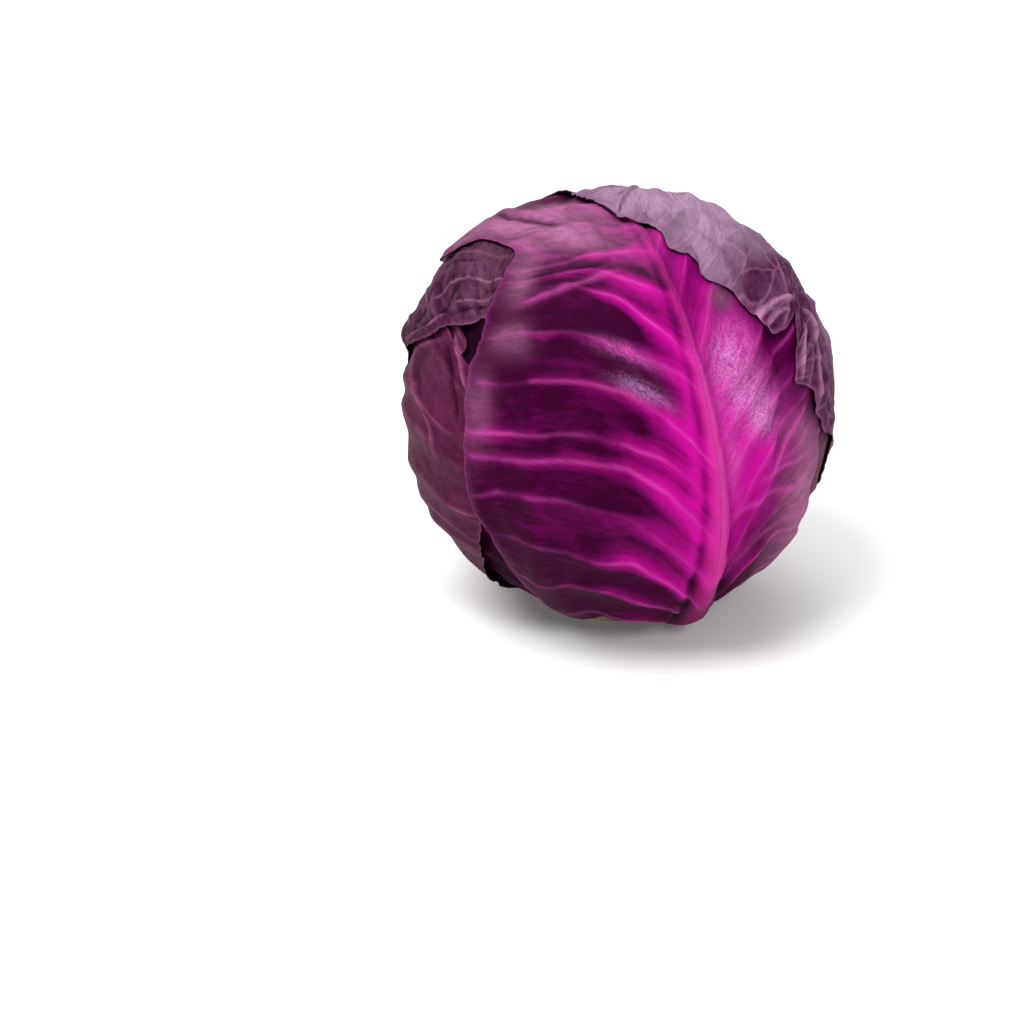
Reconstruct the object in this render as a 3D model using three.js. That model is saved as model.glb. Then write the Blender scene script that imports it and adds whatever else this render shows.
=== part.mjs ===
// A whole red cabbage head: a cut stem, the packed inner head on it, and six wrapper leaves.
// Millimetres, +Z up. The origin is the centre of the stem's cut face, on which the head rests.
//
// Every surface is a radius in a direction from the head's centre. A direction is given by two
// angles in degrees: azimuth, 0 at the front (-Y) and 90 at the right (+X), and climb, 0 straight
// down along the stem, 90 level with the centre and 180 at the crown. A leaf that climbs past 180
// has gone over the crown to the far side.

import * as THREE from "three";

// Driving dimensions

const CENTRE_HEIGHT = 80; // from the cut face to the centre that the leaves wrap round
const HEART_RADIUS = 70.2; // the inner head, before its own leaves
const STEM_FLATTENING = 1.0; // how much shorter that radius is round the stem
const CROWN_FLATTENING = 4.2; // and at the crown, where the most leaves lie over each other
// Where the head swells: azimuth and climb in degrees, spread in degrees, rise in millimetres.
const SWELLINGS = [
  { azimuth: -112, climb: 134, spread: 20, rise: 2.2 },
  { azimuth: 60, climb: 44, spread: 26, rise: 1.4 },
  { azimuth: 30, climb: 34, spread: 24, rise: 2.8 },
];
const STEM_CONE = 14; // degrees from the axis to the stem's flared side, seen from the centre
const STEM_FLARE_HEIGHT = 16;
const CORE_PROFILE = [[15.4, 25], [14.4, 45], [11.8, 65], [7.4, 79], [0, 85]]; // radius, height
const SOCKET_GAP = 0.5;
const STEM_SIDES = 32;

const BLADE = 0.9; // thickness of a leaf between its veins
const LAYER_GAP = 0.55; // air between one leaf and the next
const LEAF_FOOT = 14.6; // climb at which every leaf leaves the stem
const RIB_HEIGHT = { foot: 6.6, tip: 0.7 };
const RIB_HALF_WIDTH = { foot: 7.5, tip: 2.2 };
const RIB_SHOULDER = 0.6; // share of the half width up to which the rib keeps most of its height
const VEIN_HEIGHT = 1.3;
const PLEAT_RISE = 2.4;
const FLOOR_CLEARANCE = 1.8; // from the lowest rib to the plane of the cut face
const FACE_SAMPLES = 7; // places along a facet's side where it is tested against what lies under it

const DEGREE = Math.PI / 180;
const clamp = THREE.MathUtils.clamp;
const mix = THREE.MathUtils.lerp;
const smooth = THREE.MathUtils.smoothstep;

// Directions

function direction(azimuth, climb) {
  const a = azimuth * DEGREE;
  const c = climb * DEGREE;
  return new THREE.Vector3(Math.sin(c) * Math.sin(a), -Math.sin(c) * Math.cos(a), -Math.cos(c));
}

// The point a share t of the way along the great circle from one direction to another.
function between(from, to, t) {
  const angle = from.angleTo(to);
  if (angle < 1e-6) return from.clone();
  return from
    .clone()
    .multiplyScalar(Math.sin((1 - t) * angle) / Math.sin(angle))
    .addScaledVector(to, Math.sin(t * angle) / Math.sin(angle));
}

// The radius of what has been laid so far, kept for each cell of an octahedron that is unfolded
// to a square, so that the cells are of nearly one size all over the head.
class LaidSurface {
  constructor(cells) {
    this.cells = cells;
    this.radius = new Float32Array(cells * cells);
  }

  column(direction) {
    const reach = Math.abs(direction.x) + Math.abs(direction.y) + Math.abs(direction.z);
    let u = direction.x / reach;
    let v = direction.y / reach;
    if (direction.z < 0) {
      [u, v] = [(1 - Math.abs(v)) * (u < 0 ? -1 : 1), (1 - Math.abs(u)) * (v < 0 ? -1 : 1)];
    }
    const place = (w) => clamp(Math.floor(((w + 1) / 2) * this.cells), 0, this.cells - 1);
    return [place(u), place(v)];
  }

  at(direction) {
    const [column, row] = this.column(direction);
    return this.radius[row * this.cells + column];
  }

  // Raises the cell in this direction, and those round it, to at least a radius.
  raise(direction, radius) {
    const [column, row] = this.column(direction);
    for (let r = Math.max(row - 1, 0); r <= Math.min(row + 1, this.cells - 1); r += 1) {
      for (let c = Math.max(column - 1, 0); c <= Math.min(column + 1, this.cells - 1); c += 1) {
        const cell = r * this.cells + c;
        this.radius[cell] = Math.max(this.radius[cell], radius);
      }
    }
  }

  // Lays the facets of a finished face over what is there.
  lay(points, faces) {
    const place = new THREE.Vector3();
    for (const [a, b, c] of faces) {
      const steps = Math.ceil(Math.max(points[a].distanceTo(points[b]),
        points[b].distanceTo(points[c]), points[c].distanceTo(points[a])) / 0.6);
      for (let i = 0; i <= steps; i += 1) {
        for (let j = 0; j <= steps - i; j += 1) {
          place.copy(points[a]).multiplyScalar(1 - (i + j) / steps);
          place.addScaledVector(points[b], i / steps).addScaledVector(points[c], j / steps);
          this.raise(place, place.length());
        }
      }
    }
  }
}

// Joins two lines of points, whose counts may differ, with one strip of triangles. Each step takes
// the shorter of the two diagonals.
function strip(left, right, places) {
  const faces = [];
  let i = 0;
  let j = 0;
  const apart = (a, b) => places[a].distanceTo(places[b]);
  while (i < left.length - 1 || j < right.length - 1) {
    const leftIsShorter = i < left.length - 1
      && (j === right.length - 1 || apart(left[i + 1], right[j]) <= apart(left[i], right[j + 1]));
    if (leftIsShorter) {
      faces.push([left[i], right[j], left[i + 1]]);
      i += 1;
    } else {
      faces.push([left[i], right[j], right[j + 1]]);
      j += 1;
    }
  }
  return faces;
}

function meshOf(name, points, faces, colour, roughness) {
  const geometry = new THREE.BufferGeometry();
  geometry.setAttribute("position",
    new THREE.Float32BufferAttribute(points.flatMap((p) => [p.x, p.y, p.z + CENTRE_HEIGHT]), 3));
  geometry.setIndex(faces.flat());
  geometry.computeVertexNormals();
  const mesh = new THREE.Mesh(geometry,
    new THREE.MeshStandardMaterial({ color: colour, roughness, metalness: 0 }));
  mesh.name = name;
  return mesh;
}

// Leaves

// A leaf's margin runs through hand-set points of azimuth and climb, from its foot to its tip.
function marginCurve(points) {
  return new THREE.CatmullRomCurve3(points.map(([azimuth, climb]) => direction(azimuth, climb)));
}

// The direction at a share along the midrib and a share across to one margin. Lines across follow
// the side veins: they leave the midrib upwards and bow over towards the margin.
function leafDirection(leaf, along, across, side) {
  const climb = mix(LEAF_FOOT, leaf.tip, along);
  const onRib = direction(leaf.azimuth, climb);
  const upward = direction(leaf.azimuth, climb + 90);
  const curve = side < 0 ? leaf.leftCurve : leaf.rightCurve;
  const onMargin = curve.getPoint(along).normalize();
  const scallop = leaf.scallop * Math.sin(leaf.waves * Math.PI * along) * smooth(across, 0.8, 1);
  const place = between(onRib, onMargin, across * (1 - scallop));
  const bow = leaf.bow * smooth(along, 0, 0.2) * (1 - smooth(along, 0.75, 1))
    * 4 * across * (1 - across) ** 1.5;
  return place.addScaledVector(upward, bow).normalize();
}

// The share of the way across at which the midrib ends.
function ribEdge(along, width) {
  return Math.min(mix(RIB_HALF_WIDTH.foot, RIB_HALF_WIDTH.tip, Math.sqrt(along)) / width, 0.5);
}

// How far a leaf's outer face stands over its inner one.
function leafThickness(leaf, along, across, edge, onVein) {
  const fromRib = Math.min(across / edge, 1);
  const rib = mix(RIB_HEIGHT.foot, RIB_HEIGHT.tip, Math.sqrt(along)) * (1 - fromRib ** 3);
  const vein = onVein ? VEIN_HEIGHT * (1 - across ** 1.5) * smooth(along, 0.02, 0.15) : 0;
  return BLADE + Math.max(rib * leaf.rib, vein * smooth(fromRib, 0.5, 1));
}

// Folds that gather the blade near a margin: each rises steeply at its own vein and then sinks.
function pleatRise(leaf, along, across, side) {
  let rise = 0;
  for (const pleat of leaf.pleats ?? []) {
    if (pleat.side !== side) continue;
    const past = (along - pleat.along) / pleat.length;
    const shape = smooth(past, 0, 0.45) * (1 - smooth(past, 0.45, 1.6));
    rise += PLEAT_RISE * shape * smooth(across, pleat.from, pleat.from + 0.3);
  }
  return rise;
}

// Half a leaf: lines of directions from the midrib out to one margin, the last line the finest.
function halfLeafLines(leaf, side) {
  const count = side < 0 ? leaf.leftLines : leaf.rightLines;
  const lines = [];
  for (let line = side < 0 ? 0 : 1; line <= count; line += 1) {
    const steps = line === count ? leaf.marginSteps * leaf.rows : leaf.rows;
    const points = [];
    for (let step = 0; step <= steps; step += 1) {
      const along = step / steps;
      const curve = side < 0 ? leaf.leftCurve : leaf.rightCurve;
      const width = HEART_RADIUS * direction(leaf.azimuth, mix(LEAF_FOOT, leaf.tip, along))
        .angleTo(curve.getPoint(along).normalize());
      const edge = ribEdge(along, width);
      const across = line < 2
        ? line * RIB_SHOULDER * edge
        : mix(edge, 1, (line - 2) / (count - 2));
      const onVein = steps === leaf.rows && step % 2 === 1;
      const wave = 0.5 + 0.5 * Math.cos(leaf.waves * Math.PI * along);
      points.push({
        direction: leafDirection(leaf, along, across, side),
        thickness: leafThickness(leaf, along, across, edge, onVein),
        lift: pleatRise(leaf, along, across, side)
          + leaf.lift * wave * smooth(across, 0.75, 1) * smooth(along, 0.1, 0.3),
      });
    }
    lines.push(points);
  }
  return lines;
}

// Finds the smallest inner radii that keep every facet clear of what has been laid.
function settle(laid, directions, lifts, faces, neighbours) {
  const radii = directions.map((d, k) => laid.at(d) + LAYER_GAP + lifts[k]);
  for (let pass = 0; pass < 3; pass += 1) {
    const before = radii.slice();
    neighbours.forEach((near, k) => {
      const mean = near.reduce((sum, n) => sum + before[n], 0) / near.length;
      radii[k] = Math.max(before[k], mean);
    });
  }
  const place = new THREE.Vector3();
  for (let pass = 0; pass < 12; pass += 1) {
    let worst = 0;
    for (const [a, b, c] of faces) {
      for (let i = 0; i <= FACE_SAMPLES; i += 1) {
        for (let j = 0; j <= FACE_SAMPLES - i; j += 1) {
          const share = [1 - (i + j) / FACE_SAMPLES, i / FACE_SAMPLES, j / FACE_SAMPLES];
          place.set(0, 0, 0);
          [a, b, c].forEach((k, n) => place.addScaledVector(directions[k], share[n] * radii[k]));
          const short = laid.at(place) + LAYER_GAP - place.length();
          if (short <= 0) continue;
          worst = Math.max(worst, short);
          [a, b, c].forEach((k, n) => {
            radii[k] += short * share[n];
          });
        }
      }
    }
    if (worst < 0.05) break;
  }
  return radii;
}

function neighbourLists(count, faces) {
  const near = Array.from({ length: count }, () => new Set());
  for (const face of faces) {
    face.forEach((k, n) => near[k].add(face[(n + 1) % 3]).add(face[(n + 2) % 3]));
  }
  return near.map((set) => [...set]);
}

// Builds a leaf on what has been laid so far, as one closed solid of two faces and a rim, and
// lays its outer face for the leaves that follow.
function buildLeaf(laid, leaf) {
  leaf.leftCurve = marginCurve(leaf.left);
  leaf.rightCurve = marginCurve(leaf.right);
  const lines = [...halfLeafLines(leaf, -1).reverse(), ...halfLeafLines(leaf, 1)];
  let next = 0;
  const numbered = lines.map((line) => line.map(() => next++));
  const vertices = lines.flat();
  const directions = vertices.map((v) => v.direction);
  const faces = numbered.slice(1).flatMap((line, k) => strip(numbered[k], line, directions));
  const inner = settle(laid, directions, vertices.map((v) => v.lift), faces,
    neighbourLists(vertices.length, faces));
  const inside = vertices.map((v, k) => v.direction.clone().multiplyScalar(inner[k]));
  const outside = vertices.map((v, k) => {
    const highest = (FLOOR_CLEARANCE - CENTRE_HEIGHT) / Math.min(v.direction.z, -0.1);
    const radius = Math.max(inner[k] + BLADE, Math.min(inner[k] + v.thickness, highest));
    return v.direction.clone().multiplyScalar(radius);
  });
  laid.lay(outside, faces);

  const foot = numbered.map((line) => line[0]);
  const top = numbered.map((line) => line.at(-1));
  const loop = [...foot, ...numbered.at(-1).slice(1), ...top.slice(0, -1).reverse(),
    ...numbered[0].slice(1, -1).reverse()];
  const rim = loop.flatMap((p, k) => {
    const q = loop[(k + 1) % loop.length];
    return [[q, p, p + next], [q, p + next, q + next]];
  });
  const back = faces.map(([a, b, c]) => [a + next, c + next, b + next]);
  return meshOf(leaf.name, [...outside, ...inside], [...faces, ...back, ...rim],
    leaf.colour, leaf.roughness);
}

// The stem

function stemProfile(gap) {
  const flare = (height) => (CENTRE_HEIGHT - height) * Math.tan(STEM_CONE * DEGREE) + gap;
  const profile = [new THREE.Vector2(flare(0), 0), new THREE.Vector2(flare(STEM_FLARE_HEIGHT), STEM_FLARE_HEIGHT)];
  for (const [radius, height] of CORE_PROFILE) {
    profile.push(new THREE.Vector2(radius > 0 ? radius + gap : 0, height + (radius > 0 ? 0 : gap)));
  }
  return profile;
}

function buildStem() {
  const profile = [new THREE.Vector2(0, 0), ...stemProfile(0)];
  const geometry = new THREE.LatheGeometry(profile, STEM_SIDES).rotateX(Math.PI / 2);
  const mesh = new THREE.Mesh(geometry,
    new THREE.MeshStandardMaterial({ color: 0xe6dcc0, roughness: 0.75, metalness: 0 }));
  mesh.name = "cut_stem";
  return mesh;
}

// The inner head

function heartRadius(azimuth, climb) {
  const place = direction(azimuth, climb);
  let radius = HEART_RADIUS - STEM_FLATTENING * (1 - smooth(climb, 12, 55))
    - CROWN_FLATTENING * smooth(climb, 110, 170);
  for (const swelling of SWELLINGS) {
    const away = place.angleTo(direction(swelling.azimuth, swelling.climb)) / DEGREE;
    radius += swelling.rise * Math.exp(-((away / swelling.spread) ** 2));
  }
  return radius;
}

// The inner head is one dense body: its own leaves stand out of a ball, and the stem's core
// runs up into it.
function buildHeart(laid) {
  const rows = 20;
  const sides = 40;
  for (let climb = 0; climb <= 180; climb += 0.7) {
    for (let azimuth = 0; azimuth < 360; azimuth += 0.7) {
      laid.raise(direction(azimuth, climb), heartRadius(azimuth, climb));
    }
  }
  for (const leaf of HEART_LEAVES) buildLeaf(laid, leaf);

  const points = [direction(0, 180).multiplyScalar(laid.at(direction(0, 180)))];
  const rings = [];
  for (let row = 1; row <= rows; row += 1) {
    const climb = mix(180, LEAF_FOOT + 0.4, row / rows);
    rings.push(Array.from({ length: sides }, (_, k) => {
      const azimuth = (360 * k) / sides;
      const d = direction(azimuth, climb);
      const radius = row === rows ? heartRadius(azimuth, climb) : laid.at(d);
      return points.push(d.multiplyScalar(radius)) - 1;
    }));
  }
  const socket = stemProfile(SOCKET_GAP).filter((p) => p.y > STEM_FLARE_HEIGHT);
  for (const { x: radius, y: height } of socket.filter((p) => p.x > 0)) {
    rings.push(Array.from({ length: sides }, (_, k) => {
      const d = direction((360 * k) / sides, 90).multiplyScalar(radius);
      return points.push(d.setZ(height - CENTRE_HEIGHT)) - 1;
    }));
  }
  const apex = points.push(new THREE.Vector3(0, 0, socket.at(-1).y - CENTRE_HEIGHT)) - 1;

  const faces = [];
  for (let k = 0; k < sides; k += 1) {
    const n = (k + 1) % sides;
    faces.push([0, rings[0][k], rings[0][n]]);
    for (let r = 0; r < rings.length - 1; r += 1) {
      faces.push([rings[r][k], rings[r + 1][k], rings[r + 1][n]]);
      faces.push([rings[r][k], rings[r + 1][n], rings[r][n]]);
    }
    faces.push([rings.at(-1)[k], apex, rings.at(-1)[n]]);
  }
  laid.radius.fill(0);
  laid.lay(points, faces.filter((face) => face.every((k) => k <= rows * sides)));
  return meshOf("inner_head", points, faces, 0x7a2f74, 0.5);
}

// Every leaf's own values stand over these.
const LEAF = { rows: 18, leftLines: 7, rightLines: 7, marginSteps: 2, bow: 0.12, waves: 13,
  scallop: 0.02, lift: 0.5, rib: 0.5, pleats: [], colour: 0x6b1f66, roughness: 0.45 };

// The packed leaves whose edges show on the inner head. They are fused into it.
const HEART_LEAVES = [60, -78, 150].map((azimuth) => ({
  ...LEAF, name: "fused", azimuth, tip: 172, rows: 16, lift: 0.3, rib: 0.35,
  left: [[-35, 15], [-68, 60], [-84, 100], [-100, 140], [-140, 166]].map(([a, c]) => [azimuth + a, c]),
  right: [[35, 15], [68, 60], [84, 100], [100, 140], [140, 166]].map(([a, c]) => [azimuth + a, c]),
}));

// The wrapper leaves, from the innermost to the outermost. "left" and "right" are the margins as
// seen from outside, each as azimuth and climb from the foot to the tip.
const WRAPPER_LEAVES = [
  {
    name: "leaf_front_inner", azimuth: -24, tip: 160, rows: 16, leftLines: 6, rightLines: 6,
    left: [[-56, 16], [-70, 42], [-80, 66], [-86, 90], [-89, 110], [-91, 128], [-92, 144], [-90, 158]],
    right: [[8, 16], [22, 42], [32, 66], [40, 90], [44, 110], [47, 128], [49, 144], [48, 158]],
  },
  {
    name: "leaf_right", azimuth: 114, tip: 152, colour: 0x6d2a60, rib: 0.7,
    left: [[84, 16], [70, 36], [60, 54], [54, 72], [51, 90], [51, 106], [53, 120], [57, 132],
      [63, 142], [74, 151]],
    right: [[144, 16], [158, 36], [170, 55], [179, 74], [184, 92], [186, 107], [186, 121],
      [182, 133], [176, 143], [164, 152]],
  },
  {
    name: "leaf_left", azimuth: -108, tip: 146, waves: 15, lift: 0.9, colour: 0x5c2050, rib: 0.7,
    left: [[-138, 16], [-150, 34], [-160, 52], [-167, 70], [-171, 86], [-173, 100], [-173, 112],
      [-171, 123], [-167, 132], [-160, 140], [-149, 147]],
    right: [[-78, 16], [-62, 34], [-51, 50], [-43, 66], [-38, 80], [-37, 93], [-40, 104],
      [-46, 114], [-51, 122], [-60, 131], [-69, 141]],
  },
  {
    name: "leaf_shoulder", azimuth: -150, tip: 176, rows: 20, rightLines: 8, marginSteps: 3,
    waves: 23, scallop: 0.03, lift: 1, rib: 0.8, colour: 0x66305c, roughness: 0.55,
    left: [[-182, 16], [-196, 36], [-206, 56], [-213, 76], [-217, 95], [-220, 112], [-224, 126],
      [-230, 138], [-240, 147], [-255, 154], [-275, 160], [-300, 165]],
    right: [[-118, 16], [-112, 36], [-108, 54], [-105, 72], [-100, 90], [-92, 105], [-78, 113],
      [-63, 123], [-50, 130], [-50, 138], [-57, 147], [-30, 162]],
    pleats: [{ side: 1, along: 0.5, length: 0.07, from: 0.45 },
      { side: 1, along: 0.64, length: 0.06, from: 0.5 }],
  },
  {
    name: "leaf_front", azimuth: 26, tip: 194, rows: 26, leftLines: 10, rightLines: 8,
    marginSteps: 3, waves: 27, scallop: 0.012, lift: 1.1, rib: 1, colour: 0xa3127f, roughness: 0.35,
    left: [[-8, 16], [-24, 34], [-33, 50], [-37, 68], [-41, 85], [-42, 100], [-43, 112], [-45, 124],
      [-48, 135], [-60, 147], [-84, 143], [-102, 131], [-118, 137], [-132, 148]],
    right: [[52, 16], [60, 34], [65, 48], [66, 60], [62, 71], [63, 84], [65, 96], [70, 108],
      [78, 120], [88, 131], [102, 141], [120, 149], [142, 155], [168, 160]],
    pleats: [{ side: -1, along: 0.67, length: 0.07, from: 0.45 },
      { side: -1, along: 0.82, length: 0.06, from: 0.5 }],
  },
  {
    name: "leaf_crown", azimuth: 166, tip: 186, rows: 26, leftLines: 10, rightLines: 8,
    marginSteps: 3, waves: 31, scallop: 0.018, lift: 1, rib: 1, colour: 0x7d5578, roughness: 0.6,
    left: [[128, 16], [112, 32], [100, 48], [90, 62], [82, 75], [75, 86], [67, 94], [63, 103],
      [58, 110], [61, 117], [63, 124], [55, 131], [47, 139], [40, 148], [31, 159], [18, 168]],
    right: [[204, 16], [216, 32], [224, 48], [230, 64], [233, 80], [234, 95], [233, 108],
      [231, 120], [228, 131], [225, 140], [222, 148], [224, 156], [232, 162], [246, 167],
      [262, 170], [284, 172]],
  },
].map((leaf) => ({ ...LEAF, ...leaf }));

const cabbage = new THREE.Group();
const laid = new LaidSurface(300);
cabbage.add(buildStem(), buildHeart(laid));
for (const leaf of WRAPPER_LEAVES) cabbage.add(buildLeaf(laid, leaf));

export default cabbage;
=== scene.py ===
# %% [markdown]
# # A whole red cabbage head
# The head is a ball of leaves that grew one over another: packed leaves inside, then six wrapper
# leaves, each with a thick midrib, side veins and a waved margin. It rests on its cut stem.
# The solids come from the imported model. They give the places and sizes, and each one is then
# dressed here by a finer piece. The leaves' margins, their clearest veins, their creases and some
# patches of colour are set one by one, by place on the head. The rest follows from rules that all
# the leaves share.

# %% Load the imported model
import math
import bpy
import numpy as np
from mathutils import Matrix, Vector


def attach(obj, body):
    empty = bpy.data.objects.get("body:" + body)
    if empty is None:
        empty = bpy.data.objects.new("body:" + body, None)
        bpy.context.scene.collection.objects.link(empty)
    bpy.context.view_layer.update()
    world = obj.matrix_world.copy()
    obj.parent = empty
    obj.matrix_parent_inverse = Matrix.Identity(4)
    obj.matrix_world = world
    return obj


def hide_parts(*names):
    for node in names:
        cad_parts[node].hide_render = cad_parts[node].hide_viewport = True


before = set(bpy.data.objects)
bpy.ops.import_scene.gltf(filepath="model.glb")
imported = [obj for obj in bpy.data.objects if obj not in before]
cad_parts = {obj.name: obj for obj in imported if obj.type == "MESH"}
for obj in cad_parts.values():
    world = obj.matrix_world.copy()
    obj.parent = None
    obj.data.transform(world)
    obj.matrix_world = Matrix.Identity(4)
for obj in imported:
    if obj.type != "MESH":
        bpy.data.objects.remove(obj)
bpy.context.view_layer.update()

# %% [markdown]
# ## Camera
# The head is seen from the front and from 24 degrees above, with a long lens, as in a product
# photograph. The camera aims a little to the left of the head and below it, so that the head
# stands in the upper right of the picture, where the photograph has it.

# %% Place the camera
HEAD_CENTRE = Vector((0, 0, 0.080))
VIEW_HEIGHT = math.radians(24)
AIM_LEFT, AIM_BELOW = 0.0385, 0.0403  # how far beside and below the head's centre the camera aims
CAMERA_DISTANCE = 0.8868  # all three in metres
toward_camera = Vector((0, -math.cos(VIEW_HEIGHT), math.sin(VIEW_HEIGHT)))
picture_up = Vector((0, math.sin(VIEW_HEIGHT), math.cos(VIEW_HEIGHT)))
aim = HEAD_CENTRE - Vector((AIM_LEFT, 0, 0)) - picture_up * AIM_BELOW

lens = bpy.data.cameras.new("camera")
lens.lens = 85
lens.sensor_width = 36
camera = bpy.data.objects.new("camera", lens)
bpy.context.scene.collection.objects.link(camera)
camera.location = aim + toward_camera * CAMERA_DISTANCE
camera.rotation_euler = (-toward_camera).to_track_quat("-Z", "Y").to_euler()
bpy.context.scene.camera = camera
print("camera at", tuple(round(v, 4) for v in camera.location))

# %% [markdown]
# ## Directions
# Every leaf wraps the same centre, so a point on a leaf is a direction from that centre and a
# radius. A direction is given by two angles: azimuth, 0 at the front and 90 at the right, and
# climb, 0 at the stem, 90 level with the centre and 180 at the crown. All sizes are millimetres
# until a mesh is made, because they are easier to read than metres. A real head is no perfect
# ball either: it is flatter at the crown and has broad swellings, each a soft hill on the ball.

# %% Sizes that the leaves share
CENTRE_HEIGHT = 80.0
HEART_RADIUS = 73.6
LEAF_RADIUS = 75.0  # about where the leaves lie, to turn an angle into a length
CREASE_RADIUS = 77.0  # the same for creases, which are on the outermost leaves
STEM_FLATTENING = 1.0  # how much less the radius is near the stem, and over the crown
CROWN_FLATTENING = 5.8
SWELLINGS = [(-108, 128, 22, 3.0), (60, 44, 26, 1.4), (30, 34, 24, 2.8)]  # azimuth, climb, spread, rise
LEAF_FOOT = 14.6  # climb at which every leaf leaves the stem
LAYER_GAP = 0.5  # air between a leaf and what it rests on
FLOOR_CLEARANCE = 1.8  # no leaf comes nearer to the floor
MM = 0.001


# %% Directions and blends
def direction(azimuth, climb):
    a, c = np.radians(azimuth), np.radians(climb)
    return np.stack(np.broadcast_arrays(np.sin(c) * np.sin(a), -np.sin(c) * np.cos(a), -np.cos(c)), -1)


def unit(v):
    return v / np.maximum(np.linalg.norm(v, axis=-1, keepdims=True), 1e-12)


def mix(a, b, t):
    return a + (b - a) * t


def smooth(x, low, high):
    t = np.clip((x - low) / (high - low), 0, 1)
    return t * t * (3 - 2 * t)


def bump_at(x, centre, spread):
    return np.exp(-(((x - centre) / spread) ** 2))


print("the front is", direction(0, 90).round(3), "and the crown", direction(0, 180).round(3))

# %% [markdown]
# A margin, the edge of a leaf, runs through listed points. A Catmull-Rom curve passes through all
# of them without overshooting much, which is why it is used here and not a Bezier curve, whose
# handles would have to be set as well. The centripetal kind is used, where the square root of the
# distance between two points sets the pace, because it makes no loops where points lie close
# together. Small irregularities come from a wobble: random values with a fixed seed, joined
# smoothly.

# %% A margin through its points, and a seeded wobble
def margin(points, share):
    points = np.array(points, float)
    keys = points[:, 2] if points.shape[1] > 2 else np.linspace(0, 1, len(points))
    p = direction(points[:, 0], points[:, 1])
    p = np.vstack([2 * p[0] - p[1], p, 2 * p[-1] - p[-2]])
    x = np.interp(share, keys, np.arange(len(points)))
    i = np.minimum(x.astype(int), len(points) - 2)
    f = (x - i)[:, None]
    a, b, c, d = p[i], p[i + 1], p[i + 2], p[i + 3]
    ab, bc, cd = (np.linalg.norm(q - r, axis=1)[:, None] ** 0.5 for q, r in ((a, b), (b, c), (c, d)))
    m = ((b - a) / ab - (c - a) / (ab + bc) + (c - b) / bc) * bc
    n = ((c - b) / bc - (d - b) / (bc + cd) + (d - c) / cd) * bc
    return unit(b + m * f + (3 * (c - b) - 2 * m - n) * f**2 + (2 * (b - c) + m + n) * f**3)


def wobble(x, seed):
    values = np.random.default_rng(seed).uniform(-1, 1, 512)
    i = np.floor(x).astype(int)
    f = x - i
    f = f * f * (3 - 2 * f)
    return values[i % 512] * (1 - f) + values[(i + 1) % 512] * f


print("a wobble runs", wobble(np.linspace(0, 4, 9), 3).round(2))

# %% [markdown]
# ## What has been laid so far
# Leaves lie over each other, so each new leaf has to know how far out the head already reaches in
# every direction. The sphere of directions is unfolded to a square, by way of an octahedron, and
# each cell of the square keeps the greatest radius laid in it. That is far quicker than asking
# for the nearest point of a mesh, and the largest cells are only about twice as wide as the
# smallest, which a grid of azimuth and climb can't offer. Each quad is laid at nine places, and a
# cell that was missed takes its neighbours' greatest radius.

# %% Keep the greatest radius in every direction
class Laid:
    cells = 560

    def __init__(self):
        self.radius = np.zeros(self.cells * self.cells)

    def cell(self, place):
        reach = np.abs(place).sum(-1)
        u, v, w = (place[..., k] / reach for k in range(3))
        below = w < 0
        folded_u = (1 - np.abs(v)) * np.where(u < 0, -1, 1)
        folded_v = (1 - np.abs(u)) * np.where(v < 0, -1, 1)
        u, v = np.where(below, folded_u, u), np.where(below, folded_v, v)
        column, row = (np.clip(((w + 1) / 2 * self.cells).astype(int), 0, self.cells - 1) for w in (u, v))
        return row * self.cells + column

    def at(self, place):
        return self.radius[self.cell(place)]

    def lay(self, grid):
        steps = np.arange(3) / 3
        for f in steps:
            for g in steps:
                low = mix(grid[:-1, :-1], grid[:-1, 1:], g)
                high = mix(grid[1:, :-1], grid[1:, 1:], g)
                place = mix(low, high, f)
                np.maximum.at(self.radius, self.cell(place).ravel(), np.linalg.norm(place, axis=-1).ravel())
        square = self.radius.reshape(self.cells, self.cells)
        wide = square.copy()
        for axis in (0, 1):
            near = wide.copy()
            for step in (-1, 1):
                np.maximum(near, np.roll(wide, step, axis), out=near)
            wide = near
        self.radius = np.where(square > 0, square, wide).ravel()


laid = Laid()
print("cells of about", round(math.sqrt(4 * math.pi * LEAF_RADIUS**2 / laid.cells**2), 2), "mm")


# %% Rest a surface on what has been laid
PROBES = ((0.9, 6), (1.7, 9), (2.5, 12))  # rings round a place: radius in mm, and how many points


def rest_on(places):
    sideways = unit(np.cross(places, [0.13, 0.07, 1.0]))
    upward = np.cross(sideways, places)
    base = laid.at(places)
    for ring, count in PROBES:
        for k in range(count):
            turn = 2 * math.pi * k / count
            away = sideways * math.cos(turn) + upward * math.sin(turn)
            base = np.maximum(base, laid.at(places + away * ring / LEAF_RADIUS))
    return base


def soften(field, passes):
    for _ in range(passes):
        wide = np.pad(field, 1, mode="edge")
        field = (wide[:-2, 1:-1] + 2 * wide[1:-1, 1:-1] + wide[2:, 1:-1]) / 4
        wide = np.pad(field, 1, mode="edge")
        field = (wide[1:-1, :-2] + 2 * wide[1:-1, 1:-1] + wide[1:-1, 2:]) / 4
    return field


# %% [markdown]
# ## The wrapper leaves' own values
# Each leaf is one entry: where its midrib is, how far it climbs, and its two margins, as azimuth
# and climb from foot to tip, here and there with the share of the midrib that belongs to the
# point. A leaf whose tip is past 180 has gone over the crown. The rest says how lively it is:
# - lean and foot_turn: how far its midrib turns aside on the way up, and at the foot
# - waves, lift, curl: how often the margin waves, how far it lifts, and how far its edge curls out
# - scallop, scallops: depth of the large waves as a share, and length and depth of the small bites
# - pleats, pleat_rise: side, place, length and start of each pleat, and how high they stand
# - right_relief, calm: share of the vein relief at the right, and how much it fades to the margin

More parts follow.
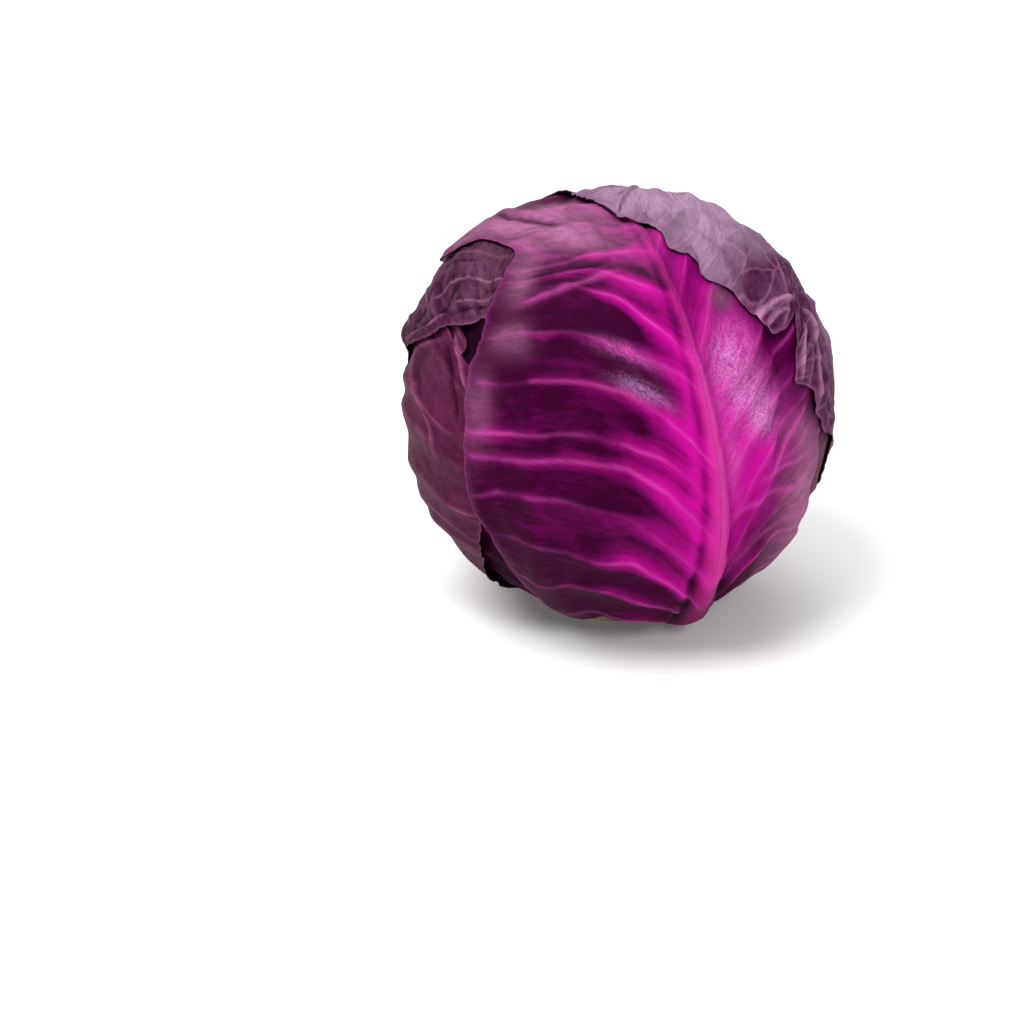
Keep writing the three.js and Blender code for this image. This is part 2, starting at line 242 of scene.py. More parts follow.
# %% Where the leaves lie
LEAVES = {
    "leaf_front_inner": dict(
        azimuth=-24, tip=160, rows=120, columns=(60, 60),
        left=[[-56, 16], [-70, 42], [-80, 66], [-86, 90], [-89, 110], [-91, 128], [-92, 144], [-90, 158]],
        right=[[8, 16], [22, 42], [32, 66], [40, 90], [44, 110], [47, 128], [49, 144], [48, 158]]),
    "leaf_right": dict(
        azimuth=114, tip=152, rows=200, columns=(120, 120),
        left=[[84, 16], [70, 36], [60, 54], [54, 72], [51, 90], [51, 106], [53, 120], [57, 132], [63, 142],
              [74, 151]],
        right=[[144, 16], [158, 36], [170, 55], [179, 74], [184, 92], [186, 107], [186, 121], [182, 133],
               [176, 143], [164, 152]]),
    "leaf_left": dict(
        azimuth=-108, tip=146, rows=210, columns=(120, 128), waves=15, lift=0.9, curl=2.4, scallop=0.008,
        scallops=(5.0, 1.0),
        left=[[-138, 16], [-150, 34], [-160, 52], [-167, 70], [-171, 86], [-173, 100], [-173, 112],
              [-171, 123], [-167, 132], [-160, 140], [-149, 147]],
        right=[[-78, 16, 0], [-62, 34, 0.14], [-51, 50, 0.27], [-43, 66, 0.39], [-39, 80, 0.5],
               [-39, 90, 0.58], [-41.5, 96, 0.625], [-39.5, 99, 0.65], [-43.5, 103, 0.68],
               [-41, 106, 0.705], [-46.5, 109.5, 0.735], [-45, 113, 0.765], [-52, 115.5, 0.79],
               [-52, 119, 0.82], [-60, 123, 0.87], [-69, 139, 1]]),
    "leaf_shoulder": dict(
        azimuth=-150, tip=176, rows=270, columns=(124, 140), waves=23, scallop=0.008, lift=0.5, curl=0.8,
        pleat_rise=1.2, scallops=(4.5, 1.2),
        left=[[-182, 16], [-196, 36], [-206, 56], [-213, 76], [-217, 95], [-220, 112], [-224, 126],
              [-230, 138], [-240, 147], [-255, 154], [-275, 160], [-300, 165]],
        right=[[-118, 16], [-112, 36], [-108, 54], [-105, 72], [-100, 89], [-92, 102], [-78, 110],
               [-63, 120], [-50, 127], [-49, 137], [-57, 147], [-30, 162]],
        pleats=[(1, 0.5, 0.07, 0.45), (1, 0.64, 0.06, 0.5)]),
    "leaf_front": dict(
        azimuth=26, lean=-9, foot_turn=15, tip=194, rows=300, columns=(144, 108), waves=27, scallop=0.004,
        lift=0.35, curl=0.45, pleat_rise=0.6, right_relief=0.5, calm=0.85, scallops=(9.0, 0.9),
        left=[[-8, 16], [-25, 34], [-34, 50], [-39, 68], [-43, 85], [-44, 100], [-46, 112], [-49, 124],
              [-51, 135], [-60, 146], [-83, 143], [-103, 127], [-126, 122], [-146, 142]],
        right=[[52, 16], [60, 34], [65, 48], [66, 60], [62, 71], [63, 84], [65, 96], [70, 108],
               [78, 120], [88, 131], [102, 141], [120, 149], [142, 155], [168, 160]],
        pleats=[(-1, 0.67, 0.07, 0.45), (-1, 0.82, 0.06, 0.5)]),
    "leaf_crown": dict(
        azimuth=166, tip=186, rows=320, columns=(132, 108), waves=31, scallop=0.004, lift=0.6, curl=0.9,
        scallops=(5.2, 1.1),
        left=[[128, 16, 0], [112, 32, 0.067], [100, 48, 0.133], [90, 62, 0.2], [82, 75, 0.267],
              [75, 86, 0.333], [63, 93, 0.4], [60, 98, 0.43], [58, 103, 0.46], [55, 107, 0.485],
              [51, 109.5, 0.51], [54, 114.5, 0.555], [56, 118.5, 0.59], [59, 122, 0.62],
              [64, 125.5, 0.645], [56, 122.5, 0.67], [50, 122.5, 0.695], [46.5, 127.5, 0.73],
              [44, 132, 0.76], [42, 136.5, 0.785], [37.5, 140, 0.81], [34, 142.5, 0.83],
              [36.5, 147.5, 0.855], [33, 150.5, 0.87], [26, 153.5, 0.89], [26.5, 158.5, 0.915],
              [21, 163.5, 0.94], [13, 165.5, 0.96], [-6, 171.5, 1.0]],
        right=[[204, 16], [216, 32], [224, 48], [230, 64], [233, 80], [233, 95], [230, 108], [226, 120],
               [220, 131], [214, 140], [210, 148], [212, 156], [222, 163], [240, 168], [260, 171],
               [284, 173]]),
}
USUAL = dict(lean=0, foot_turn=0, waves=13, scallop=0.02, lift=0.5, curl=0.8, scallops=(6.0, 0.8), pleats=[],
             pleat_rise=2.4, right_relief=1, calm=0, bow=0.12, seed=1)
for number, (name, leaf) in enumerate(LEAVES.items()):
    LEAVES[name] = {**USUAL, "seed": 11 + number, **leaf}
print(len(LEAVES), "wrapper leaves")

# %% [markdown]
# The side veins leave the midrib at one share of its length and reach the margin at another. On a
# real leaf no two are alike, so the veins that are seen best are listed one by one, by their
# share along the leaf at six places on the way out. The others follow one usual curve, with small
# seeded differences.

# %% Where the side veins run
VEIN_KNOTS = [0, 0.1, 0.2, 0.35, 0.6, 1]  # shares across at which the veins' places are listed
FRONT_LEFT_VEINS = [
    (0.070, 0.090, 0.106, 0.122, 0.128, 0.120), (0.125, 0.148, 0.168, 0.188, 0.197, 0.185),
    (0.182, 0.207, 0.232, 0.256, 0.266, 0.248), (0.245, 0.270, 0.295, 0.321, 0.326, 0.300),
    (0.318, 0.346, 0.368, 0.384, 0.377, 0.345), (0.370, 0.396, 0.411, 0.421, 0.413, 0.376),
    (0.436, 0.457, 0.472, 0.481, 0.474, 0.458), (0.545, 0.546, 0.541, 0.537, 0.539, 0.519),
    (0.588, 0.597, 0.602, 0.612, 0.621, 0.588), (0.680, 0.668, 0.658, 0.652, 0.642, 0.622),
    (0.776, 0.748, 0.722, 0.695, 0.668, 0.645), (0.845, 0.820, 0.800, 0.775, 0.745, 0.715),
    (0.915, 0.895, 0.880, 0.860, 0.840, 0.820)]
FRONT_RIGHT_VEINS = [
    (0.080, 0.100, 0.118, 0.140, 0.170, 0.200), (0.130, 0.153, 0.175, 0.205, 0.250, 0.310),
    (0.185, 0.210, 0.236, 0.272, 0.330, 0.410), (0.245, 0.272, 0.300, 0.340, 0.396, 0.480),
    (0.310, 0.338, 0.365, 0.405, 0.462, 0.550), (0.385, 0.412, 0.435, 0.466, 0.515, 0.610),
    (0.455, 0.472, 0.488, 0.508, 0.560, 0.655), (0.535, 0.535, 0.538, 0.552, 0.610, 0.690),
    (0.580, 0.612, 0.650, 0.680, 0.710, 0.740), (0.670, 0.700, 0.725, 0.750, 0.775, 0.790),
    (0.765, 0.785, 0.800, 0.820, 0.835, 0.845), (0.860, 0.875, 0.885, 0.895, 0.905, 0.910)]
CROWN_LEFT_VEINS = [
    (0.060, 0.085, 0.100, 0.120, 0.140, 0.150), (0.120, 0.150, 0.170, 0.195, 0.215, 0.225),
    (0.190, 0.220, 0.245, 0.270, 0.295, 0.305), (0.265, 0.300, 0.325, 0.350, 0.375, 0.385),
    (0.340, 0.375, 0.400, 0.425, 0.450, 0.465), (0.420, 0.455, 0.480, 0.500, 0.520, 0.535),
    (0.490, 0.525, 0.550, 0.575, 0.595, 0.610), (0.560, 0.590, 0.615, 0.635, 0.650, 0.685),
    (0.625, 0.650, 0.670, 0.690, 0.715, 0.765), (0.690, 0.710, 0.725, 0.742, 0.760, 0.845),
    (0.770, 0.785, 0.800, 0.815, 0.845, 0.915), (0.860, 0.870, 0.880, 0.895, 0.925, 0.960)]


def usual_veins(count, seed):
    rng = np.random.default_rng(seed)
    starts = 0.06 + 0.88 * (np.arange(count) + rng.uniform(-0.25, 0.25, count)) / count
    shape = np.array([0, 0.026, 0.044, 0.060, 0.066, 0.060])
    return [tuple(start + shape * (1 - 0.5 * start) + rng.uniform(-0.006, 0.006, 6)) for start in starts]


for name, leaf in LEAVES.items():
    leaf["left_veins"] = usual_veins(11, leaf["seed"] + 40)
    leaf["right_veins"] = usual_veins(12, leaf["seed"] + 60)
LEAVES["leaf_front"].update(left_veins=FRONT_LEFT_VEINS, right_veins=FRONT_RIGHT_VEINS)
LEAVES["leaf_crown"].update(left_veins=CROWN_LEFT_VEINS)
print("the front leaf has", len(FRONT_LEFT_VEINS), "and", len(FRONT_RIGHT_VEINS), "side veins")

# %% [markdown]
# ## A leaf's grid
# A leaf is spread as a grid: rows run out from the midrib, columns run from the foot to the tip.
# The lines stand a little closer midway across each half than at the midrib and the margin.
# Everything else about the leaf, such as how far a point is from the midrib, is worked out on this grid.

# %% Spread a leaf's directions
def column_shares(count):
    x = np.linspace(0, 1, count + 1)
    return x + 0.10 * np.sin(2 * math.pi * x) / (2 * math.pi) * (x - 1) * -4 * x


def retreat(leaf, side, arc):
    length, depth = leaf["scallops"]
    phase = arc / length + 0.8 * wobble(arc / 17, leaf["seed"] + 5 + side)
    notch = 1 - np.abs(np.sin(math.pi * phase)) ** 0.7
    return depth * (notch - 0.35) * (0.8 + 0.7 * wobble(arc / 9, leaf["seed"] + 9 + side))


def spread(leaf):
    along = np.linspace(0, 1, leaf["rows"] + 1)[:, None]
    climb = mix(LEAF_FOOT, leaf["tip"], along)
    azimuth = leaf["azimuth"] + leaf["lean"] * smooth(along, 0.2, 0.8)
    azimuth = azimuth + leaf["foot_turn"] * (1 - smooth(along, 0, 0.24))
    on_rib, upward = direction(azimuth, climb), direction(azimuth, climb + 90)
    halves = []
    for side, points, count in zip((-1, 1), (leaf["left"], leaf["right"]), leaf["columns"]):
        across = column_shares(count)[None, :]
        on_margin = margin(points, along[:, 0])[:, None, :]
        angle = np.arccos(np.clip((on_rib * on_margin).sum(-1), -1, 1))
        width = HEART_RADIUS * angle
        steps = np.linalg.norm(np.diff(on_margin[:, 0], axis=0), axis=1) * LEAF_RADIUS
        arc = np.concatenate([[0], np.cumsum(steps)])[:, None]
        inset = leaf["scallop"] * np.sin(leaf["waves"] * math.pi * along) + retreat(leaf, side, arc) / width
        share = across * (1 - inset * smooth(across, 0.8, 1))
        sine = np.sin(angle)
        place = (on_rib * (np.sin((1 - share) * angle) / sine)[..., None]
                 + on_margin * (np.sin(share * angle) / sine)[..., None])
        bow = leaf["bow"] * smooth(along, 0, 0.2) * (1 - smooth(along, 0.75, 1))
        bow = bow * 4 * across * (1 - across) ** 1.5
        place = unit(place + upward * bow[..., None])
        halves.append(dict(place=place, across=np.broadcast_to(across, share.shape) * side,
                           width=np.broadcast_to(width, share.shape), arc=np.broadcast_to(arc, share.shape)))
    left, right = halves
    grid = {key: np.concatenate([left[key][:, ::-1], right[key][:, 1:]], 1) for key in left}
    grid["along"] = np.broadcast_to(along, grid["across"].shape)
    grid["run"] = HEART_RADIUS * math.radians(leaf["tip"] - LEAF_FOOT)
    return grid


grid = spread(LEAVES["leaf_front"])
print("front leaf grid", grid["across"].shape, "widest half", round(float(grid["width"].max())), "mm")

# %% [markdown]
# ## Midrib and veins
# The midrib is thick and rounded at the foot and fades towards the tip. Side veins leave it as low
# ridges. Between two veins the blade swells or sinks, and that soft wave is what makes a cabbage
# leaf look quilted. Here they are only shares from 0 to 1; the heights come later, as inputs of
# a node tree. The glow is the same as the ridge but broader, and serves the colour. The lane counts
# from vein to vein, so that streaks drawn along it run beside the veins.

# %% Shares of side veins and swelling
def vein_fields(leaf, grid):
    across, along = grid["across"], grid["along"]
    vein, ridge, swell, glow, lane = (np.zeros(across.shape) for _ in range(5))
    for side, key in ((-1, "left_veins"), (1, "right_veins")):
        here = across * side >= 0
        t = np.abs(across[here])
        s = along[here]
        knots = np.array(leaf[key])
        lines = np.stack([np.interp(t, VEIN_KNOTS, k) for k in knots])
        drift = 0.006 * np.stack([wobble(t * 6 + 3 * n, leaf["seed"] + n) for n in range(len(knots))])
        lines = np.vstack([np.zeros((1, len(t))), lines + drift * smooth(t, 0, 0.3), np.ones((1, len(t)))])
        over = np.clip((lines[1:-1] <= s).sum(0), 0, len(knots))
        low = np.take_along_axis(lines, over[None], 0)[0]
        high = np.take_along_axis(lines, over[None] + 1, 0)[0]
        phase = (s - low) / np.maximum(high - low, 1e-6)
        apart = (high - low) * grid["run"]
        from_low = np.where(over > 0, phase, 9) * apart
        from_high = np.where(over < len(knots), 1 - phase, 9) * apart
        nearest = np.minimum(from_low, from_high)
        owner = np.where(from_low < from_high, over - 1, over)
        strength = 0.7 + 0.45 * wobble(owner * 5.37 + t * 3.5, leaf["seed"] + 80 + side)
        fade = smooth(s, 0.01, 0.1) * strength
        broad = mix(3.4, 2.0, smooth(t, 0, 0.7)) * mix(1.15, 0.75, s)
        ridge[here] = np.exp(-((nearest / broad) ** 2)) * fade
        vein[here] = np.exp(-((nearest / 0.62) ** 2)) * fade
        swell[here] = np.cos(2 * math.pi * phase) * smooth(apart, 2, 12) * smooth(t, 0.02, 0.15)
        glow[here] = np.exp(-((nearest / (1.7 * broad)) ** 1.5)) * fade
        lane[here] = (over + phase) / (len(knots) + 1)
    return vein, ridge, swell, glow, lane


vein, ridge, swell, glow, lane = vein_fields(LEAVES["leaf_front"], grid)
print("ridges cover", round(float((ridge > 0.3).mean()) * 100), "% of the front leaf")


# %% [markdown]
# The midrib isn't a plain half round. It stands on a wide, low skirt, with a narrow groove at each
# side where the blade is drawn in, and the left groove has a second, low ridge beyond it. Its
# half width and its height are listed along the leaf, since both shrink unevenly.

# %% Shares of the midrib, its round body, the grooves beside it and a second low ridge
RIB_HALF_WIDTH = ([0, 0.12, 0.17, 0.37, 0.55, 0.9, 1], [5.2, 4.7, 4.4, 3.3, 2.2, 1.1, 0.7])
RIB_HEIGHT = ([0, 0.1, 0.3, 0.55, 0.9, 1], [4.6, 4.2, 3.0, 1.9, 0.7, 0.3])
RIB_TOP = 6.7  # body and skirt together at the foot, so that the greatest share is 1


def rib_share(leaf, grid):
    away, along = grid["across"] * grid["width"], grid["along"]
    half, high = np.interp(along, *RIB_HALF_WIDTH), np.interp(along, *RIB_HEIGHT)
    body = np.maximum(1 - (away / (half * 1.12)) ** 2, 0) ** 0.8
    skirt = bump_at(away, 0, half * 2.6)
    groove = bump_at(away, -(half * 1.12 + 1.0), 1.2) + 0.5 * bump_at(away, half * 1.12 + 0.8, 1.2)
    second = bump_at(away, -(half * 1.12 + 4.0), 1.6)
    second = second * smooth(along, 0.02, 0.15) * (1 - smooth(along, 0.45, 0.7))
    share = high * body + high * 0.45 * skirt + (0.5 * second - 0.6 * groove) * mix(1, 0.4, along)
    share = share / RIB_TOP
    return share, body, groove * (1 - body) * (1 - 0.6 * along), second


print("midrib's greatest share", round(float(rib_share(LEAVES["leaf_front"], grid)[0].max()), 2))

# %% [markdown]
# A margin that stood in the open is never still: it waves, has small pleats that run in from it, and
# its last few millimetres curl away from the leaf under it. That gap throws a thin dark line round
# every leaf, made as shape; the skins also darken each leaf's rim, a painted shade that makes the line
# crisper.

# %% Pleats and lifted margins
def lift_of(leaf, grid):
    across, along = np.abs(grid["across"]), grid["along"]
    side = np.sign(grid["across"])
    wave = 0.5 + 0.5 * np.cos(leaf["waves"] * math.pi * along)
    lift = leaf["lift"] * 0.6 * wave * smooth(across, 0.75, 1) * smooth(along, 0.1, 0.3)
    for way, start, length, out in leaf["pleats"]:
        past = (along - start) / length
        shape = smooth(past, 0, 0.45) * (1 - smooth(past, 0.45, 1.6))
        lift = lift + leaf["pleat_rise"] * shape * smooth(across, out, out + 0.3) * (side == way)
    from_edge = (1 - across) * grid["width"]
    ripple = 0.5 + 0.5 * wobble(grid["arc"] / 4.5, leaf["seed"] + 21) * smooth(along, 0.05, 0.2)
    return lift + leaf["curl"] * ripple * np.exp(-from_edge / 1.8) * smooth(along, 0.05, 0.15)


lift = lift_of(LEAVES["leaf_front"], grid)
print("the front leaf's margin lifts by up to", round(float(lift.max()), 1), "mm")

# %% [markdown]
# Some creases belong to this head alone: a fold across the dark leaf at the left, wrinkles on the
# shoulder leaf, a crumpled curl where the crown leaf's margin turns under. Each is a line drawn on
# the head, by azimuth and climb, with a half width, a height and a paleness, a painted highlight
# along the crease. Below 0 the height is a furrow and the paleness a painted shade in it.

# %% Creases drawn on the head
CREASES = {
    "leaf_front": [
        ([(58, 103), (51, 98), (46, 92), (40, 84)], 0.9, 0.5, 0.8),
        ([(59, 90), (49, 88), (35, 86)], 1.0, 0.4, 0.5),
        ([(59, 80), (40, 81), (26, 79)], 1.1, 0.4, 0.4),
        ([(60, 74), (42, 66), (34, 60)], 1.1, 0.4, 0.3),
        ([(-70, 146), (-54, 149), (-38, 149), (-22, 151)], 1.5, 0.7, 0.3),
        ([(-50, 159), (-64, 159), (-78, 157), (-91, 153), (-106, 147), (-122, 138), (-138, 128)],
         1.5, -0.9, -0.6),
        ([(-56, 161), (-74, 160), (-91, 156), (-109, 150), (-128, 139)], 1.6, 1.1, 0.3),
        ([(-42, 131), (-30, 137), (-16, 143), (2, 148)], 1.3, 0.6, 0.5),
        ([(-46, 140), (-34, 143), (-20, 147), (-4, 152)], 1.2, -0.5, -0.4)],
    "leaf_shoulder": [
        ([(-100, 121), (-87, 122), (-73, 120)], 0.5, 0.5, 0.6),
        ([(-77, 122), (-74, 126), (-72, 131), (-60, 136), (-53, 139), (-51, 143)], 0.5, 0.7, 1.0),
        ([(-72, 132), (-67, 128), (-66, 125), (-69, 122), (-73, 118), (-79, 112)], 0.8, -1.1, -1.0),
        ([(-66, 127), (-68, 121), (-75, 116), (-82, 109)], 0.5, 0.7, 0.9),
        ([(-65, 125), (-59, 129), (-55, 131), (-51, 136)], 0.5, 0.6, 0.6),
        ([(-64, 122), (-58, 127), (-53, 130), (-50, 135)], 0.7, -0.8, -0.9),
        ([(-97, 130), (-84, 138), (-72, 142), (-58, 146)], 0.7, 0.4, 0.3),
        ([(-92, 128), (-82, 135), (-70, 139)], 0.6, -0.6, -0.8),
        ([(-60, 139), (-56, 134), (-53, 137)], 0.6, -0.6, -0.8),
        ([(-100, 121), (-103, 126), (-100, 132), (-86, 139)], 0.6, 0.7, 0.7),
        ([(-86, 128), (-80, 124), (-79, 118), (-84, 112)], 0.6, -0.8, -0.9),
        ([(-92, 120), (-84, 118), (-77, 116)], 0.6, -0.7, -0.8),
        ([(-98, 112), (-90, 114), (-83, 113)], 0.5, 0.5, 0.5)],
    "leaf_left": [
        ([(-60, 119), (-70, 114), (-79, 108), (-77, 104), (-70, 101), (-62, 96), (-56, 88), (-53, 78)],
         0.9, 1.2, 0.6),
        ([(-66, 113), (-74, 108), (-72, 104), (-66, 101)], 1.6, -0.7, -0.4),
        ([(-60, 121), (-56, 118), (-52, 115), (-49, 111), (-45, 107)], 0.7, 1.6, 0.9),
        ([(-62, 117), (-58, 114), (-54, 110), (-50, 104), (-48, 98)], 1.1, -1.4, -0.9)],
    "leaf_crown": [
        ([(43, 124), (46, 127), (53, 129), (60, 128.5), (67, 126)], 1.0, 1.9, 0.9),
        ([(47, 123), (52, 126), (60, 125.5)], 0.9, 1.5, 0.8),
        ([(44, 126), (50, 124), (57, 126)], 0.8, -1.4, -0.9),
        ([(66, 125), (69, 121), (66, 117), (62, 115)], 1.0, 1.7, 0.9),
        ([(64, 122), (59, 117), (55, 113), (53, 108)], 0.8, 1.2, 0.8),
        ([(68, 118), (64, 111), (61, 106), (60, 99)], 0.9, 1.2, 0.8),
        ([(74, 128), (80, 122), (82, 114), (80, 106)], 1.0, 1.1, 0.6),
        ([(62, 104), (68, 100), (72, 94)], 0.9, 0.9, 0.5)],
}
CREASE_STEPS = 70  # points along one crease


def crease_fields(name, grid):
    height, pale = np.zeros(grid["across"].shape), np.zeros(grid["across"].shape)
    for points, half, rise, light in CREASES.get(name, []):
        line = margin(points, np.linspace(0, 1, CREASE_STEPS))
        closeness = grid["place"] @ line.T
        at = closeness.argmax(-1) / (CREASE_STEPS - 1)
        away = np.arccos(np.clip(closeness.max(-1), -1, 1)) * CREASE_RADIUS
        ends = smooth(at, 0, 0.22) * (1 - smooth(at, 0.78, 1))
        shape = np.exp(-((away / half) ** 2)) * ends
        height, pale = height + rise * shape, pale + light * shape
    return height, np.maximum(pale, 0), np.maximum(-pale, 0)


print("creases on", sorted(CREASES))

# %% [markdown]
# ## Relief, as a node tree
# The rule that turns a smooth sheet into a leaf is the same for all six: blade, midrib, side
# veins, swelling, creases, puckers, crumples and a net of fine veins, each a height times its
# share. That is a good use of Geometry Nodes, where one tree with named inputs serves every leaf
# and each height can be turned up or down on its own. Set Position moves only the outer face,
# outwards. The crumples' own height is kept as the attribute "wrinkle", so that the skin can
# carry a painted highlight on their crests and a painted shade between them.

# %% Small helpers for node trees
def link(tree, source, target):
    tree.links.new(source, target)


def place_node(tree, kind, **settings):
    node = tree.nodes.new(kind)
    for key, value in settings.items():
        setattr(node, key, value)
    return node


def feed(tree, value, socket):
    if isinstance(value, tuple):
        socket.default_value = (*value, 1)
    elif isinstance(value, (int, float)):
        socket.default_value = value
    else:
        link(tree, value, socket)


def calc(tree, operation, *values, clamp=False):
    node = place_node(tree, "ShaderNodeMath", operation=operation, use_clamp=clamp)
    for socket, value in zip(node.inputs, values):
        feed(tree, value, socket)
    return node.outputs[0]


print("a number or a colour is set on a socket, and anything else is linked to it")

# %% [markdown]
# The finest veins form a net of uneven cells. A Voronoi texture draws such cells, and its distance to
# the nearest cell edge gives the lines. Its straight edges look like cracks, so the chart is bent by a
# slow noise first. The relief and the skins use the same two helpers, so their nets coincide.

# %% A bent chart, and cells on it
NET_WARP_SCALE = 160
NET_WARP = (0.004, 0.004, 0.0)  # in metres


def bent_chart(tree, chart, drawn):
    warp = place_node(tree, "ShaderNodeTexNoise", noise_dimensions="3D")
    link(tree, chart, warp.inputs["Vector"])
    warp.inputs["Scale"].default_value = NET_WARP_SCALE
    shifted = place_node(tree, "ShaderNodeVectorMath", operation="MULTIPLY_ADD")
    link(tree, warp.outputs["Color"], shifted.inputs[0])
    shifted.inputs[1].default_value = NET_WARP
    link(tree, drawn, shifted.inputs[2])
    return shifted.outputs[0]


def cells_on(tree, vector, scale, feature="DISTANCE_TO_EDGE", result="Distance"):
    cells = place_node(tree, "ShaderNodeTexVoronoi", feature=feature, voronoi_dimensions="2D")
    link(tree, vector, cells.inputs["Vector"])
    feed(tree, scale, cells.inputs["Scale"])
    return cells.outputs[result]


print("the net of veins is bent by up to", NET_WARP[0] / MM, "mm")


# %% Build the relief tree
THINNEST = 0.35  # no leaf is thinner than this


def build_relief_tree():
    tree = bpy.data.node_groups.new("leaf_relief", "GeometryNodeTree")
    face = tree.interface
    face.new_socket("Sheet", in_out="INPUT", socket_type="NodeSocketGeometry")
    for name in ("Blade", "Rib", "Side veins", "Swelling", "Creases", "Puckers", "Pucker size", "Crumples",
                 "Crumple size", "Net", "Net size", "Seed"):
        face.new_socket(name, in_out="INPUT", socket_type="NodeSocketFloat")
    face.new_socket("Skin", in_out="INPUT", socket_type="NodeSocketMaterial")
    face.new_socket("Leaf", in_out="OUTPUT", socket_type="NodeSocketGeometry")
    given = place_node(tree, "NodeGroupInput").outputs

    def share(name, kind="FLOAT"):
        node = place_node(tree, "GeometryNodeInputNamedAttribute", data_type=kind)
        node.inputs["Name"].default_value = name
        return node.outputs["Attribute"]

    def rough(chart, size, detail, seed_shift):
        scaled = place_node(tree, "ShaderNodeVectorMath", operation="SCALE")
        link(tree, chart, scaled.inputs[0])
        link(tree, calc(tree, "DIVIDE", 1.0, size), scaled.inputs["Scale"])
        noise = place_node(tree, "ShaderNodeTexNoise", noise_dimensions="4D")
        link(tree, scaled.outputs[0], noise.inputs["Vector"])
        link(tree, calc(tree, "ADD", given["Seed"], seed_shift), noise.inputs["W"])
        noise.inputs["Scale"].default_value = 1.0
        noise.inputs["Detail"].default_value = detail
        noise.inputs["Roughness"].default_value = 0.45
        return calc(tree, "MULTIPLY", calc(tree, "SUBTRACT", noise.outputs[0], 0.5), 2.0)

    chart = share("chart", "FLOAT_VECTOR")
    puckers = rough(chart, given["Pucker size"], 1.0, 0.0)
    drawn_out = place_node(tree, "ShaderNodeVectorMath", operation="MULTIPLY")
    link(tree, chart, drawn_out.inputs[0])
    drawn_out.inputs[1].default_value = (0.4, 1.0, 1.0)  # wrinkles run along the side veins
    ridge = rough(drawn_out.outputs[0], given["Crumple size"], 2.0, 7.3)
    ridge = calc(tree, "MULTIPLY", calc(tree, "ABSOLUTE", ridge), 2.0)
    ridge = calc(tree, "SUBTRACT", 1.0, ridge, clamp=True)
    crumples = calc(tree, "SUBTRACT", calc(tree, "POWER", ridge, 2.0), 0.4)
    bent = bent_chart(tree, chart, share("drawn", "FLOAT_VECTOR"))
    from_line = cells_on(tree, bent, calc(tree, "DIVIDE", 1.0, given["Net size"]))
    net = calc(tree, "EXPONENT", calc(tree, "MULTIPLY", from_line, -11.0))
    terms = [
        calc(tree, "MULTIPLY", calc(tree, "MULTIPLY", given["Net"], share("puckered")), net),
        calc(tree, "MULTIPLY", given["Blade"], share("thick")),
        calc(tree, "MULTIPLY", given["Rib"], share("rib")),
        calc(tree, "MULTIPLY", given["Side veins"], share("ridge")),
        calc(tree, "MULTIPLY", given["Swelling"], share("swell")),
        calc(tree, "MULTIPLY", given["Creases"], share("crease")),
        calc(tree, "MULTIPLY", calc(tree, "MULTIPLY", given["Puckers"], share("puckered")), puckers),
        calc(tree, "MULTIPLY", calc(tree, "MULTIPLY", given["Crumples"], share("crumpled")), crumples),
    ]
    height = terms[0]
    for term in terms[1:]:
        height = calc(tree, "ADD", height, term)
    height = calc(tree, "MINIMUM", calc(tree, "MAXIMUM", height, THINNEST * MM), share("room"))
    offset = place_node(tree, "ShaderNodeVectorMath", operation="SCALE")
    link(tree, share("outward", "FLOAT_VECTOR"), offset.inputs[0])
    link(tree, calc(tree, "MULTIPLY", height, share("outer")), offset.inputs["Scale"])
    keep = place_node(tree, "GeometryNodeStoreNamedAttribute", data_type="FLOAT", domain="POINT")
    link(tree, given["Sheet"], keep.inputs["Geometry"])
    keep.inputs["Name"].default_value = "wrinkle"
    link(tree, calc(tree, "DIVIDE", terms[-1], MM), keep.inputs["Value"])
    move = place_node(tree, "GeometryNodeSetPosition")
    link(tree, keep.outputs["Geometry"], move.inputs["Geometry"])
    link(tree, offset.outputs[0], move.inputs["Offset"])
    real = place_node(tree, "GeometryNodeRealizeInstances")
    link(tree, move.outputs["Geometry"], real.inputs[0])
    paint = place_node(tree, "GeometryNodeSetMaterial")
    link(tree, real.outputs[0], paint.inputs["Geometry"])
    link(tree, given["Skin"], paint.inputs["Material"])
    link(tree, paint.outputs[0], place_node(tree, "NodeGroupOutput").inputs[0])
    return tree


relief_tree = build_relief_tree()
print("relief tree with", len(relief_tree.nodes), "nodes")


# %% Run a tree on a mesh and keep the plain result
def grow(name, mesh, tree, values):
    rough_piece = bpy.data.objects.new(name + "_grid", mesh)
    bpy.context.scene.collection.objects.link(rough_piece)
    modifier = rough_piece.modifiers.new("growth", "NODES")
    modifier.node_group = tree
    for item in tree.interface.items_tree:
        if item.in_out == "INPUT" and item.name in values:
            modifier[item.identifier] = values[item.name]
    seen = rough_piece.evaluated_get(bpy.context.evaluated_depsgraph_get())
    grown = bpy.data.meshes.new_from_object(seen, preserve_all_data_layers=True,
                                            depsgraph=bpy.context.evaluated_depsgraph_get())
    bpy.data.objects.remove(rough_piece)
    grown.name = name
    piece = bpy.data.objects.new(name, grown)
    bpy.context.scene.collection.objects.link(piece)
    return piece


print("the tree has the inputs", [item.name for item in relief_tree.interface.items_tree])

# %% [markdown]
# ## Meshes
# A leaf is closed: an outer face, an inner face with fewer columns, because nobody sees it,
# and a rim that joins them. The shares go into the mesh as attributes, so that the node tree and
# the materials read the same values.

# %% Close a grid into a leaf mesh
COARSE = 4  # outer columns to one inner column


